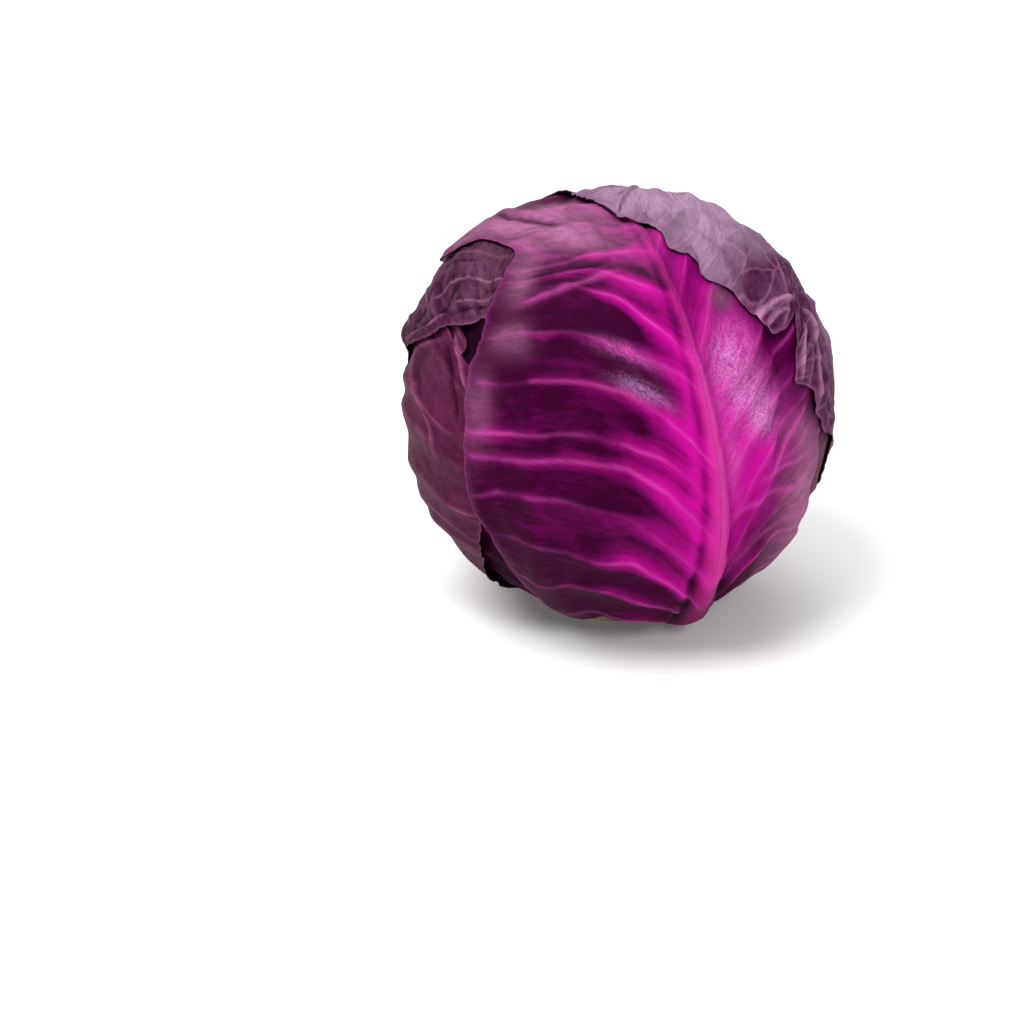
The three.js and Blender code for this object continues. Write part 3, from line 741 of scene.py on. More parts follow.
def leaf_mesh(name, inside):
    rows, columns = inside.shape[:2]
    outer = np.arange(rows * columns).reshape(rows, columns)
    kept = np.arange(0, columns, COARSE)
    inner = rows * columns + np.arange(rows * len(kept)).reshape(rows, len(kept))
    points = np.vstack([inside.reshape(-1, 3), inside[:, kept].reshape(-1, 3)])
    quads = [
        (outer[:-1, :-1], outer[:-1, 1:], outer[1:, 1:], outer[1:, :-1]),
        (inner[:-1, :-1], inner[1:, :-1], inner[1:, 1:], inner[:-1, 1:]),
        (outer[:-1, 0], outer[1:, 0], inner[1:, 0], inner[:-1, 0]),
        (outer[1:, -1], outer[:-1, -1], inner[:-1, -1], inner[1:, -1]),
    ]
    faces = np.vstack([np.stack(q, -1).reshape(-1, 4) for q in quads]).tolist()
    for k in range(len(kept) - 1):
        foot, tip = (row[k * COARSE : (k + 1) * COARSE + 1] for row in (outer[0], outer[-1]))
        faces.append([*foot[::-1].tolist(), int(inner[0, k]), int(inner[0, k + 1])])
        faces.append([*tip.tolist(), int(inner[-1, k + 1]), int(inner[-1, k])])
    mesh = bpy.data.meshes.new(name)
    mesh.from_pydata((points * MM + [0, 0, CENTRE_HEIGHT * MM]).tolist(), [], faces)
    mesh.shade_smooth()
    return mesh, kept


def store(mesh, name, field, kept):
    field = np.asarray(field, float)
    flat = np.concatenate([field.reshape(-1, *field.shape[2:]), field[:, kept].reshape(-1, *field.shape[2:])])
    vector = field.ndim == 3
    attribute = mesh.attributes.new(name, "FLOAT_VECTOR" if vector else "FLOAT", "POINT")
    attribute.data.foreach_set("vector" if vector else "value", flat.ravel())


print("a leaf's inner face has one column of faces for", COARSE, "outer ones")

# %% [markdown]
# ## The inner head
# Under the wrapper leaves the head is one dense ball of packed leaves. Three of them are laid
# on a plain ball here, and the ball is then remade as one surface over them, so that their edges
# and ribs show as relief. It is hidden almost everywhere, so it gets only this and a simple skin.

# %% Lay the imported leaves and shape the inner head
PACKED_LEAVES = (60, -78, 150)  # their azimuths


def heart_radius(azimuth, climb):
    place = direction(azimuth, climb)
    radius = (HEART_RADIUS - STEM_FLATTENING * (1 - smooth(climb, 12, 55))
              - CROWN_FLATTENING * smooth(climb, 110, 170))
    for a, c, wide, rise in SWELLINGS:
        away = np.degrees(np.arccos(np.clip((place * direction(a, c)).sum(-1), -1, 1)))
        radius = radius + rise * np.exp(-((away / wide) ** 2))
    return radius


def lay_packed_leaf(azimuth, seed):
    leaf = {**USUAL, "azimuth": azimuth, "tip": 172, "rows": 120, "columns": (80, 80),
            "lift": 0.3, "seed": seed}
    points = [[35, 15], [68, 60], [84, 100], [100, 140], [140, 166]]
    leaf["left"] = [[azimuth - a, c] for a, c in points]
    leaf["right"] = [[azimuth + a, c] for a, c in points]
    leaf["left_veins"], leaf["right_veins"] = usual_veins(10, seed), usual_veins(10, seed + 1)
    grid = spread(leaf)
    vein, ridge, swell = vein_fields(leaf, grid)[:3]
    radius = soften(rest_on(grid["place"]), 12) + 0.3 + lift_of(leaf, grid)
    radius = radius + 0.9 + 2.0 * rib_share(leaf, grid)[0] + 0.5 * ridge + 0.3 * swell
    laid.lay(grid["place"] * radius[..., None])


turns, climbs = np.meshgrid(np.arange(0, 360.5, 0.5), np.arange(0, 180.5, 0.5))
laid.lay(direction(turns, climbs) * heart_radius(turns, climbs)[..., None])
for number, azimuth in enumerate(PACKED_LEAVES):
    lay_packed_leaf(azimuth, 70 + number)
print("inner head reaches", round(float(laid.radius.max()), 1), "mm")

# %% Make the inner head's mesh
HEART_ROWS, HEART_SIDES = 120, 180
CORE_TOP = 85
CORE_PROFILE = [(15.4, 25), (14.4, 45), (11.8, 65), (7.4, 79), (0, CORE_TOP)]  # radius and height
SOCKET_GAP = 0.5


def ring_faces(rings, sides):
    a = np.arange(rings - 1)[:, None] * sides + np.arange(sides)[None, :]
    b = np.arange(rings - 1)[:, None] * sides + (np.arange(sides)[None, :] + 1) % sides
    return np.stack([a, a + sides, b + sides, b], -1).reshape(-1, 4)


turn = np.arange(HEART_SIDES) * 360 / HEART_SIDES
climb = mix(180, LEAF_FOOT + 0.4, np.arange(1, HEART_ROWS + 1) / HEART_ROWS)
around = direction(turn[None, :], climb[:, None])
reach = soften(laid.at(around), 1)
reach[-1] = heart_radius(turn, climb[-1])
skin = around * reach[..., None]
socket = np.array([[(r + SOCKET_GAP) * p for p in direction(turn, 90)] for r, _ in CORE_PROFILE[:-1]])
for ring, (_, height) in zip(socket, CORE_PROFILE):
    ring[:, 2] = height - CENTRE_HEIGHT
crown_point = direction(0, 180) * laid.at(direction(0, 180))
apex = np.array([0, 0, CORE_TOP + SOCKET_GAP - CENTRE_HEIGHT])
points = np.vstack([skin.reshape(-1, 3), socket.reshape(-1, 3), crown_point, apex])
rings = HEART_ROWS + len(socket)
faces = ring_faces(rings, HEART_SIDES).tolist()
last = rings * HEART_SIDES
for k in range(HEART_SIDES):
    n = (k + 1) % HEART_SIDES
    faces.append([last, k, n])
    faces.append([last - HEART_SIDES + k, last + 1, last - HEART_SIDES + n])
heart_mesh = bpy.data.meshes.new("packed_leaves")
heart_mesh.from_pydata((points * MM + [0, 0, CENTRE_HEIGHT * MM]).tolist(), [], faces)
heart_mesh.shade_smooth()
heart = bpy.data.objects.new("packed_leaves", heart_mesh)
bpy.context.scene.collection.objects.link(heart)
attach(heart, "root")
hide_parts("inner_head")
laid.radius[:] = 0
wrapped = np.concatenate([skin, skin[:, :1]], 1)
laid.lay(np.concatenate([np.broadcast_to(crown_point, (1, *wrapped.shape[1:])), wrapped]))
empty = laid.radius <= 0
laid.radius[empty] = HEART_RADIUS - 0.8  # round the stem, below the inner head's skin
print("inner head mesh has", len(heart_mesh.polygons), "faces;", int(empty.sum()), "cells lie round the stem")


# %% [markdown]
# ## Where a leaf is bright, dusty or dark
# The colour of a red cabbage isn't even. It is vivid near the midrib, where the skin was shaded by
# other leaves, and it gets a grey, waxy bloom where it was in the open. These areas have no sharp
# border, so each is a smooth hill on the leaf: its place along and across, both as shares, its
# reach in the two ways, and an amount, which is below 0 where the leaf is darker or barer. A few
# darker hills on the front leaf are painted shade, marked where they stand. near_rib
# says how bright the midrib's sides are and how many millimetres that reaches to the left and
# to the right. ridges is the share of brightness between the veins, rim a bright, bare margin,
# gloss a shining patch, less rough and with a painted frosted sheen, and crumpled the only places
# of a leaf with crumples.

# %% Soft areas of colour
def areas(grid, hills):
    total = np.zeros(grid["across"].shape)
    for along, across, long_way, cross_way, amount in hills:
        hill = amount * bump_at(grid["along"], along, long_way)
        total = total + hill * bump_at(grid["across"], across, cross_way)
    return total


LOOKS = {
    "leaf_front_inner": dict(near_rib=(0.5, 20, 20), ridges=0.2, bloom=[(0.8, 0, 0.4, 1.5, 0.2)]),
    "leaf_right": dict(near_rib=(0.3, 14, 14), ridges=0.3, bloom=[(0.5, 0, 0.5, 1.5, 0.3)]),
    "leaf_left": dict(
        near_rib=(0.2, 14, 14), ridges=0.3,
        bright=[(0.7, 0.8, 0.2, 0.3, 0.2)],
        bloom=[(0.5, 0, 0.5, 1.5, 0.15)]),
    "leaf_shoulder": dict(
        near_rib=(0.2, 12, 12), ridges=0.35,
        bright=[(0.72, 0.8, 0.2, 0.3, 0.25)],
        bloom=[(0.7, 0, 0.5, 1.5, 0.45), (0.78, 0.9, 0.1, 0.3, 0.4), (0.58, 0.9, 0.08, 0.3, -0.35)]),
    "leaf_front": dict(
        near_rib=(0.66, 22, 40), ridges=0.7,
        bright=[
            (0.38, 0.35, 0.16, 0.35, 0.20), (0.45, 0.10, 0.14, 0.22, 0.22), (0.40, -0.12, 0.12, 0.12, 0.2),
            (0.70, -0.10, 0.05, 0.2, -0.25), (0.547, 0.53, 0.035, 0.13, -0.2), (0.61, 0.55, 0.03, 0.14, -0.4),
            # painted shadow: the first hill on this line darkens the front leaf just under the crown leaf's
            # margin
            (0.640, 0.28, 0.018, 0.07, -0.6), (0.575, -0.55, 0.016, 0.25, -0.35),
            (0.545, -0.60, 0.010, 0.25, -0.3), (0.50, -0.62, 0.014, 0.22, -0.35),
            (0.507, -0.28, 0.020, 0.12, -0.3), (0.58, -0.36, 0.020, 0.14, -0.2),
            (0.455, -0.55, 0.01, 0.2, -0.3), (0.66, -0.70, 0.018, 0.2, -0.3), (0.34, -0.42, 0.014, 0.2, -0.3),
            # painted shade: these three hills darken the leaf and its midrib towards the foot, near the floor
            (0.04, 0, 0.15, 3.0, -0.9), (0.09, 0, 0.12, 0.12, -0.4), (0.17, 0, 0.09, 0.25, -0.55),
            (0.38, 0.42, 0.04, 0.12, 0.3), (0.31, -0.38, 0.04, 0.2, 0.25), (0.25, 0.5, 0.1, 0.25, -0.15),
            (0.25, -0.5, 0.12, 0.4, 0.12), (0.20, 0.85, 0.15, 0.35, -0.3)],
        bloom=[
            (0.80, -0.62, 0.09, 0.42, 0.9), (0.73, -0.60, 0.03, 0.30, 0.35), (0.70, -0.92, 0.04, 0.12, 0.35),
            (0.625, -0.88, 0.04, 0.09, 0.6), (0.525, -0.84, 0.025, 0.09, 0.5), (0.42, -0.95, 0.06, 0.06, 0.3),
            (0.85, -0.2, 0.06, 0.25, 0.5), (0.36, 0.85, 0.09, 0.22, 0.65), (0.22, 0.90, 0.12, 0.25, 0.45),
            # the first hill on this line greys that painted shadow under the crown leaf's margin
            (0.640, 0.28, 0.018, 0.07, 0.4), (0.44, 0.75, 0.02, 0.2, 0.3)],
        # painted sheen: these hills mark where a frosted lilac reflection is painted and the skin is less
        # rough
        gloss_and_painted_sheen=[
            (0.555, 0.22, 0.045, 0.13, 0.85), (0.50, 0.30, 0.025, 0.16, 0.6), (0.463, 0.38, 0.022, 0.12, 1.0),
            (0.493, -0.27, 0.012, 0.10, 0.55), (0.535, -0.33, 0.012, 0.12, 0.3),
            (0.43, 0.12, 0.05, 0.06, 0.3)]),
    "leaf_crown": dict(
        near_rib=(0.2, 12, 12), ridges=0.3, rim=0.22,
        crumpled=[(0.64, -0.95, 0.07, 0.2, 1.0), (0.48, -0.95, 0.14, 0.2, 0.7)],
        bloom=[
            (0.6, 0, 0.9, 1.6, 0.95), (0.66, -0.92, 0.08, 0.25, -1.1), (0.74, -0.85, 0.05, 0.2, -0.25),
            (0.54, -0.95, 0.09, 0.25, -0.9), (0.42, -0.97, 0.10, 0.2, -0.6)]),
}


def paint_shares(name, grid, glow, second):
    look = LOOKS[name]
    amount, left_reach, right_reach = look["near_rib"]
    away = np.abs(grid["across"] * grid["width"])
    at_left = grid["across"] < 0
    reach = np.where(at_left, left_reach * (0.85 + 0.5 * glow), right_reach) * mix(1.0, 0.7, grid["along"])
    tongues = np.where(at_left, 1.0, 0.35) * (glow - 0.35) * (0.35 + np.exp(-away / 50))
    bright = amount * np.exp(-((away / reach) ** 1.8)) + areas(grid, look.get("bright", []))
    bright = bright + look["ridges"] * tongues + 0.25 * second
    rim = look.get("rim", 0) * np.exp(-(1 - np.abs(grid["across"])) * grid["width"] / 5)
    return np.maximum(bright, 0) + rim, areas(grid, look["bloom"]) - rim


print("areas set for", len(LOOKS), "leaves")

# %% [markdown]
# ## Leaf skin
# The skin is waxy: a satin shine over a deep colour, paler over the veins, with a fine net of small
# veins and a matt grey bloom. One function builds the node tree, because all the leaves are of
# one kind and differ only in their colours and in how much bloom they carry. The patterns read
# two charts that each leaf carries as attributes, so they follow the leaf as it bends. One runs
# straight along and across the leaf. The other, drawn, is sheared so that streaks drawn out along
# it run beside the side veins. Crests, creases and margins are paler: a painted highlight on the
# midrib and on crease and crumple crests, and margins paler partly in their own colour and partly
# as a painted highlight. Hollows, furrows, grooves and the leaves' rims and undersides are darkened
# nearly to black, a painted shade, and the frosted sheen on the shining patches is a painted reflection.

# %% Node helpers for the skins
def blend(tree, low, high, share, kind="MIX"):
    node = place_node(tree, "ShaderNodeMix", data_type="RGBA", blend_type=kind)
    for socket, value in ((node.inputs["Factor"], share), (node.inputs[6], low), (node.inputs[7], high)):
        feed(tree, value, socket)
    return node.outputs[2]


def span(tree, value, low, high, to_low=0.0, to_high=1.0):
    node = place_node(tree, "ShaderNodeMapRange", interpolation_type="SMOOTHSTEP")
    link(tree, value, node.inputs["Value"])
    for key, number in (("From Min", low), ("From Max", high), ("To Min", to_low), ("To Max", to_high)):
        node.inputs[key].default_value = number
    return node.outputs[0]


def read(tree, name):
    return place_node(tree, "ShaderNodeAttribute", attribute_type="GEOMETRY", attribute_name=name)


def stretched(tree, vector, x, y, z):
    node = place_node(tree, "ShaderNodeMapping")
    link(tree, vector, node.inputs["Vector"])
    node.inputs["Scale"].default_value = (x, y, z)
    return node.outputs[0]


def cloudy(tree, vector, scale, detail=2.0, roughness=0.5, distortion=0.0):
    node = place_node(tree, "ShaderNodeTexNoise", noise_dimensions="3D")
    link(tree, vector, node.inputs["Vector"])
    settings = dict(Scale=scale, Detail=detail, Roughness=roughness, Distortion=distortion)
    for key, number in settings.items():
        node.inputs[key].default_value = number
    return node.outputs[0]


print("helpers for skins: blend, span, read, stretched and cloudy")


# %% Build a leaf's skin
# painted shade: SHADE is the colour that crumple hollows, furrows, grooves and the leaves' rims and
# undersides are darkened towards
SHADE = (0.010, 0.0005, 0.006)  # the colour of hollows and undersides
SHEEN = (1.0, 0.5, 0.9, 1)  # a tinted reflection, or the white surround would grey the leaves' edges


def leaf_skin(name, deep, vivid, vein_colour, rib_colour, bloom_colour, net=0.25, satin=0.42, net_size=9.0,
              specular=0.08, painted_sheen_lilac=(0.50, 0.16, 0.44), cell_tone=0.3, roughened=0.00045, dusty=0.2):
    skin = bpy.data.materials.new(name)
    skin.use_nodes = True
    tree = skin.node_tree
    shader = tree.nodes["Principled BSDF"]
    chart, drawn = (read(tree, key).outputs["Vector"] for key in ("chart", "drawn"))
    bright, bloom, rib, vein, groove = (read(tree, key).outputs["Fac"]
                                        for key in ("bright", "bloom", "rib_body", "vein", "groove"))
    gloss_and_painted_sheen, pale, outer, wrinkle = (read(tree, key).outputs["Fac"]
                                   for key in ("gloss_and_painted_sheen", "pale", "outer", "wrinkle"))
    soft = cloudy(tree, chart, 55, 3, 0.55)
    grain = cloudy(tree, chart, 900, 2, 0.6)
    crackle = cloudy(tree, chart, 1300, 3, 0.65)
    streaks = cloudy(tree, stretched(tree, drawn, 90, 340, 90), 1.0, 5, 0.65, 0.5)
    mottle = cloudy(tree, stretched(tree, drawn, 200, 320, 200), 1.0, 6, 0.7, 0.3)

    # the net of veins: lines between cells, and fainter ones between cells a third as large
    bent, scale = bent_chart(tree, chart, drawn), 1000 / net_size
    lines = span(tree, cells_on(tree, bent, scale), 0.0, 0.09, 1.0, 0.0)
    small_lines = span(tree, cells_on(tree, bent, scale * 3.1), 0.0, 0.16, 1.0, 0.0)
    net_share = calc(tree, "ADD", lines, calc(tree, "MULTIPLY", small_lines, 0.18))
    net_share = calc(tree, "MULTIPLY", net_share, net)

    # the ground colour, uneven, and darker in the grooves beside the midrib and in crease furrows, a painted
    # shade
    uneven = calc(tree, "MULTIPLY", calc(tree, "SUBTRACT", soft, 0.5), 1.1)
    for cloud, amount in ((streaks, 0.8), (mottle, 0.35)):
        uneven = calc(tree, "ADD", uneven, calc(tree, "MULTIPLY", calc(tree, "SUBTRACT", cloud, 0.5), amount))
    swing = span(tree, bright, 0.0, 0.5, 0.45, 1.0)
    lively = calc(tree, "ADD", bright, calc(tree, "MULTIPLY", uneven, swing))
    lively = calc(tree, "SUBTRACT", lively, calc(tree, "MULTIPLY", groove, 0.18), clamp=True)
    ground = blend(tree, deep, vivid, lively)

    # the side veins, the net and the midrib
    veined = calc(tree, "MULTIPLY", vein, span(tree, soft, 0.38, 0.6, 0.15, 0.75), clamp=True)
    ground = blend(tree, ground, vein_colour, veined)
    ground = blend(tree, ground, vein_colour, calc(tree, "MULTIPLY", net_share, 0.6, clamp=True))
    ground = blend(tree, ground, rib_colour, calc(tree, "MULTIPLY", rib, 0.85, clamp=True))

    # the bloom, in patches, and rubbed off the midrib and the grooves beside it
    patchy = calc(tree, "MULTIPLY", bloom, span(tree, streaks, 0.3, 0.62, 1 - dusty, 1 + 0.3 * dusty))
    patchy = calc(tree, "MULTIPLY", patchy, span(tree, soft, 0.32, 0.6, 0.7, 1.1))
    patchy = calc(tree, "MULTIPLY", patchy, span(tree, mottle, 0.3, 0.6, 1 - dusty, 1 + 0.5 * dusty))
    bare = calc(tree, "MULTIPLY", groove, 0.6)
    bare = calc(tree, "ADD", calc(tree, "MULTIPLY", rib, 0.7), bare, clamp=True)
    patchy = calc(tree, "MULTIPLY", patchy, calc(tree, "SUBTRACT", 1.0, bare), clamp=True)
    ground = blend(tree, ground, bloom_colour, patchy)

    # painted sheen: a frosted lilac reflection painted on the shining patches, and cells that differ a little
    # in tone
    painted_frosty_sheen = calc(tree, "MULTIPLY", gloss_and_painted_sheen, span(tree, crackle, 0.36, 0.6, 0.3, 0.95))
    painted_frosty_sheen = calc(tree, "MULTIPLY", painted_frosty_sheen, span(tree, mottle, 0.36, 0.56, 0.35, 1.0), clamp=True)
    ground = blend(tree, ground, painted_sheen_lilac, painted_frosty_sheen)
    tone = calc(tree, "SUBTRACT", cells_on(tree, bent, scale, "F1", "Color"), 0.5)
    tone = calc(tree, "MAXIMUM", calc(tree, "MULTIPLY", tone, cell_tone), 0.0, clamp=True)
    ground = blend(tree, ground, (0.0, 0.0, 0.0), tone)

    # painted highlights on the midrib and on crease and crumple crests, margins paler partly in their own
    # colour and partly as a painted highlight, and painted shade in hollows, furrows, grooves, rims and
    # undersides
    line = calc(tree, "MULTIPLY", pale, span(tree, mottle, 0.3, 0.55, 0.35, 0.85))
    line = calc(tree, "MAXIMUM", line, calc(tree, "MULTIPLY", wrinkle, 0.45), clamp=True)
    ground = blend(tree, ground, vein_colour, line)
    painted_hollow_shade = calc(tree, "ADD", calc(tree, "MULTIPLY", wrinkle, -1.3), calc(tree, "MULTIPLY", groove, 0.3))
    under = calc(tree, "MULTIPLY", calc(tree, "SUBTRACT", 1.0, outer), 0.9)
    ground = blend(tree, ground, SHADE, calc(tree, "MAXIMUM", painted_hollow_shade, under, clamp=True))
    link(tree, ground, shader.inputs["Base Color"])

    # how rough the skin is, and how much it reflects
    rough = calc(tree, "ADD", calc(tree, "MULTIPLY", patchy, 0.12), calc(tree, "MULTIPLY", grain, 0.16))
    rough = calc(tree, "ADD", rough, satin)
    rough = calc(tree, "SUBTRACT", rough, calc(tree, "MULTIPLY", gloss_and_painted_sheen, 0.16))
    link(tree, rough, shader.inputs["Roughness"])
    shader.inputs["Specular IOR Level"].default_value = specular
    shader.inputs["Specular Tint"].default_value = SHEEN

    # the finest relief, too small for the mesh, with heights in metres
    relief = calc(tree, "MULTIPLY", net_share, 0.00035)
    for cloud, height in ((mottle, roughened), (streaks, 0.0009), (grain, 0.00004)):
        relief = calc(tree, "ADD", relief, calc(tree, "MULTIPLY", cloud, height))
    surface = place_node(tree, "ShaderNodeBump")
    surface.inputs["Strength"].default_value = 0.8
    surface.inputs["Distance"].default_value = 1.0
    link(tree, relief, surface.inputs["Height"])
    link(tree, surface.outputs[0], shader.inputs["Normal"])
    return skin


print("hollows are shaded with", SHADE, "and reflections tinted with", SHEEN[:3])

# %% [markdown]
# Five skins are enough, because the two dark leaves at the sides look alike. The front leaf is the
# vivid one, without a net. The crown leaf is dusty, the shoulder leaf wrinkled and streaked, and
# the leaf that lies under the others is darkened nearly to black all over, a painted shade, since
# it is seen only in the shadowed gaps between leaves.

# %% The skins
SKINS = {
    "leaf_front": leaf_skin(
        "leaf_bright_skin", deep=(0.030, 0.0004, 0.016), vivid=(0.43, 0.003, 0.235),
        vein_colour=(0.56, 0.07, 0.35), rib_colour=(0.45, 0.022, 0.20), bloom_colour=(0.345, 0.115, 0.235),
        net=0.0, satin=0.34, specular=0.02, painted_sheen_lilac=(0.56, 0.22, 0.52), cell_tone=0.0, roughened=0.0006),
    "leaf_crown": leaf_skin(
        "leaf_bloomed_skin", deep=(0.050, 0.006, 0.032), vivid=(0.19, 0.016, 0.11),
        vein_colour=(0.44, 0.21, 0.36), rib_colour=(0.42, 0.20, 0.36), bloom_colour=(0.39, 0.24, 0.37),
        net=0.34, satin=0.44, net_size=12.0, specular=0.012, cell_tone=0.6),
    "leaf_shoulder": leaf_skin(
        "leaf_wrinkled_skin", deep=(0.022, 0.002, 0.014), vivid=(0.17, 0.006, 0.095),
        vein_colour=(0.34, 0.15, 0.25), rib_colour=(0.30, 0.10, 0.23), bloom_colour=(0.10, 0.040, 0.070),
        net=0.10, satin=0.40, specular=0.025, roughened=0.0022, dusty=0.7),
    "leaf_left": leaf_skin(
        "leaf_dark_skin", deep=(0.042, 0.004, 0.020), vivid=(0.20, 0.012, 0.095),
        vein_colour=(0.34, 0.10, 0.20), rib_colour=(0.30, 0.07, 0.20), bloom_colour=(0.18, 0.052, 0.10),
        net=0.05, satin=0.40, specular=0.02, roughened=0.0010, dusty=0.6),
    # painted shade: the covered leaf's skin, also used on the inner head, is darkened nearly to black, since
    # both are seen only in shadowed gaps
    "leaf_front_inner": leaf_skin(
        "leaf_covered_painted_shade_skin", deep=(0.009, 0.0005, 0.006), vivid=(0.045, 0.002, 0.026),
        vein_colour=(0.10, 0.016, 0.06), rib_colour=(0.12, 0.02, 0.08), bloom_colour=(0.04, 0.012, 0.03),
        net=0.05, satin=0.5, specular=0.012),
}
SKINS["leaf_right"] = SKINS["leaf_left"]
print("skins:", sorted({m.name for m in SKINS.values()}))

# %% [markdown]
# ## Lay the leaves
# The leaves are laid from the innermost to the outermost, as they lie on the head. Each one rests
# on what is under it, with a little air between, and then its own outer face is laid for the next.
# That keeps the order of the leaves without any test for clashes. The heights are millimetres.

# %% Heights of each leaf's relief
PLAIN = {"Blade": 0.9, "Rib": 0, "Side veins": 0, "Swelling": 0, "Creases": 1, "Puckers": 0, "Pucker size": 9,
         "Crumples": 0, "Crumple size": 10, "Net": 0, "Net size": 9}
HEIGHTS = {
    "leaf_front_inner": {"Rib": 3.3, "Side veins": 0.5, "Swelling": 0.3, "Puckers": 0.3, "Pucker size": 9},
    "leaf_right": {"Rib": 4.6, "Side veins": 0.6, "Swelling": 0.4, "Puckers": 0.4, "Pucker size": 9},
    "leaf_left": {"Rib": 4.6, "Side veins": 0.6, "Swelling": 0.4, "Puckers": 0.4, "Pucker size": 10},
    "leaf_shoulder": {"Rib": 5.2, "Side veins": 0.6, "Swelling": 0.4, "Puckers": 0.4, "Pucker size": 9,
                      "Crumples": 0.4, "Crumple size": 4.5},
    "leaf_front": {"Rib": 6.2, "Side veins": 0.8, "Swelling": 0.55, "Puckers": 0.5, "Pucker size": 10},
    "leaf_crown": {"Rib": 6.0, "Side veins": 0.6, "Swelling": 0.3, "Puckers": 0.2, "Pucker size": 12,
                   "Crumples": 0.8, "Crumple size": 7, "Net": 0.3, "Net size": 12},
}


print("midribs rise by", {name: heights["Rib"] for name, heights in HEIGHTS.items()}, "mm")


# %% Lay one leaf
def lay_leaf(name):
    leaf, look = LEAVES[name], LOOKS[name]
    grid = spread(leaf)
    places, across, along = grid["place"], grid["across"], grid["along"]
    vein, ridge, swell, glow, lane = vein_fields(leaf, grid)
    rib, rib_body, groove, second = rib_share(leaf, grid)
    away, from_edge = across * grid["width"], (1 - np.abs(across)) * grid["width"]
    held = smooth(from_edge, 0, 5) * smooth(along, 0, 0.06) * (1 - smooth(along, 0.95, 1))
    calm = 1 - leaf["calm"] * smooth(np.abs(across), 0.55, 0.95)
    swell = swell * calm
    inside = soften(rest_on(places), 14) + LAYER_GAP + lift_of(leaf, grid)
    inside = inside + 0.5 * swell * held * HEIGHTS[name]["Swelling"]
    inside = np.maximum(inside, laid.at(places) + 0.25)
    mesh, kept = leaf_mesh(name + "_grid", places * inside[..., None])

    highest = (FLOOR_CLEARANCE - CENTRE_HEIGHT) / np.minimum(places[..., 2], -0.1)
    bright, bloom = paint_shares(name, grid, glow, second)
    crease, pale, dark = crease_fields(name, grid)
    own_place = leaf["seed"] * 300.0 + 0 * along  # so that no two leaves share a pattern
    chart = np.stack([away, along * grid["run"], own_place], -1)
    drawn = np.stack([away, lane * grid["run"], own_place], -1)
    # painted highlight: a pale line along the midrib, just right of its centre
    painted_rib_highlight = 0.45 * bump_at(away, 0.8, 1.5) * smooth(along, 0.15, 0.3) * (1 - smooth(along, 0.5, 0.75))
    # painted shade: the midrib's paler colour is weakened towards the foot, near the floor; it also fades
    # towards the tip
    body = rib_body * mix(0.4, 1, smooth(along, 0.12, 0.36)) * mix(1, 0.3, smooth(along, 0.5, 0.68))
    beside_rib = smooth(np.abs(away), 3, 8)
    right_share = np.where(across > 0, leaf["right_relief"], 1)
    crumpled = areas(grid, look["crumpled"]) if "crumpled" in look else 1
    # painted light in these shares: groove also carries the painted shade of crease furrows, and pale the
    # painted highlights on the midrib and crease crests; margins are paler partly in their own colour and
    # partly as a painted highlight
    shares = dict(
        outward=places, room=np.maximum(highest - inside, 0.8) * MM, chart=chart * MM, drawn=drawn * MM,
        thick=mix(0.42, 1.0, smooth(from_edge, 0, 4)), rib=rib, rib_body=body, groove=groove + 1.9 * dark,
        vein=vein * held * 0.6, pale=pale + painted_rib_highlight + 0.35 * np.exp(-from_edge / 0.9),
        ridge=ridge * held * beside_rib * calm * right_share, swell=swell * held * 0.5,
        crease=crease * smooth(from_edge, 0, 2.5), puckered=held * (1 - 0.7 * rib_body),
        crumpled=held * crumpled, gloss_and_painted_sheen=areas(grid, look.get("gloss_and_painted_sheen", [])), bright=bright, bloom=bloom)
    for key, field in shares.items():
        store(mesh, key, field, kept)
    outer = np.zeros(len(mesh.vertices))
    outer[: across.size] = 1
    mesh.attributes.new("outer", "FLOAT", "POINT").data.foreach_set("value", outer)

    values = {key: value * MM for key, value in {**PLAIN, **HEIGHTS[name]}.items()}
    values.update({"Seed": float(leaf["seed"]), "Skin": SKINS[name]})
    piece = grow(name + "_blade", mesh, relief_tree, values)
    points = np.empty(len(piece.data.vertices) * 3)
    piece.data.vertices.foreach_get("co", points)
    outside = points.reshape(-1, 3)[: across.size].reshape(*across.shape, 3) / MM - [0, 0, CENTRE_HEIGHT]
    laid.lay(outside)
    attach(piece, "root")
    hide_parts(name)
    triangles = sum(len(p.vertices) - 2 for p in piece.data.polygons)
    reach = round(float(np.linalg.norm(outside, axis=-1).max()), 1)
    print(name, triangles, "triangles, reaches", reach, "mm")
    return piece


# %% Lay them all
blades = {name: lay_leaf(name) for name in LEAVES}

# %% [markdown]
# ## The stem
# The stump is cut square. Its cut face is woody and pale, brown at the rim where it dried, with
# a ring of fibre ends. The body is a lathe, since it is round, and its face is set a little in, so
# that the fibre ends, which a node tree repeats round a ring, reach the floor and no further.

# %% Turn the stump
STEM_CONE = 14  # half the cone's angle, in degrees, with its point at the head's centre
STEM_SIDES = 96
ON_AXIS = 0.01  # a radius just above 0, so that the lathe's ends can be closed as flat faces


def flare(height):
    return (CENTRE_HEIGHT - height) * math.tan(math.radians(STEM_CONE))


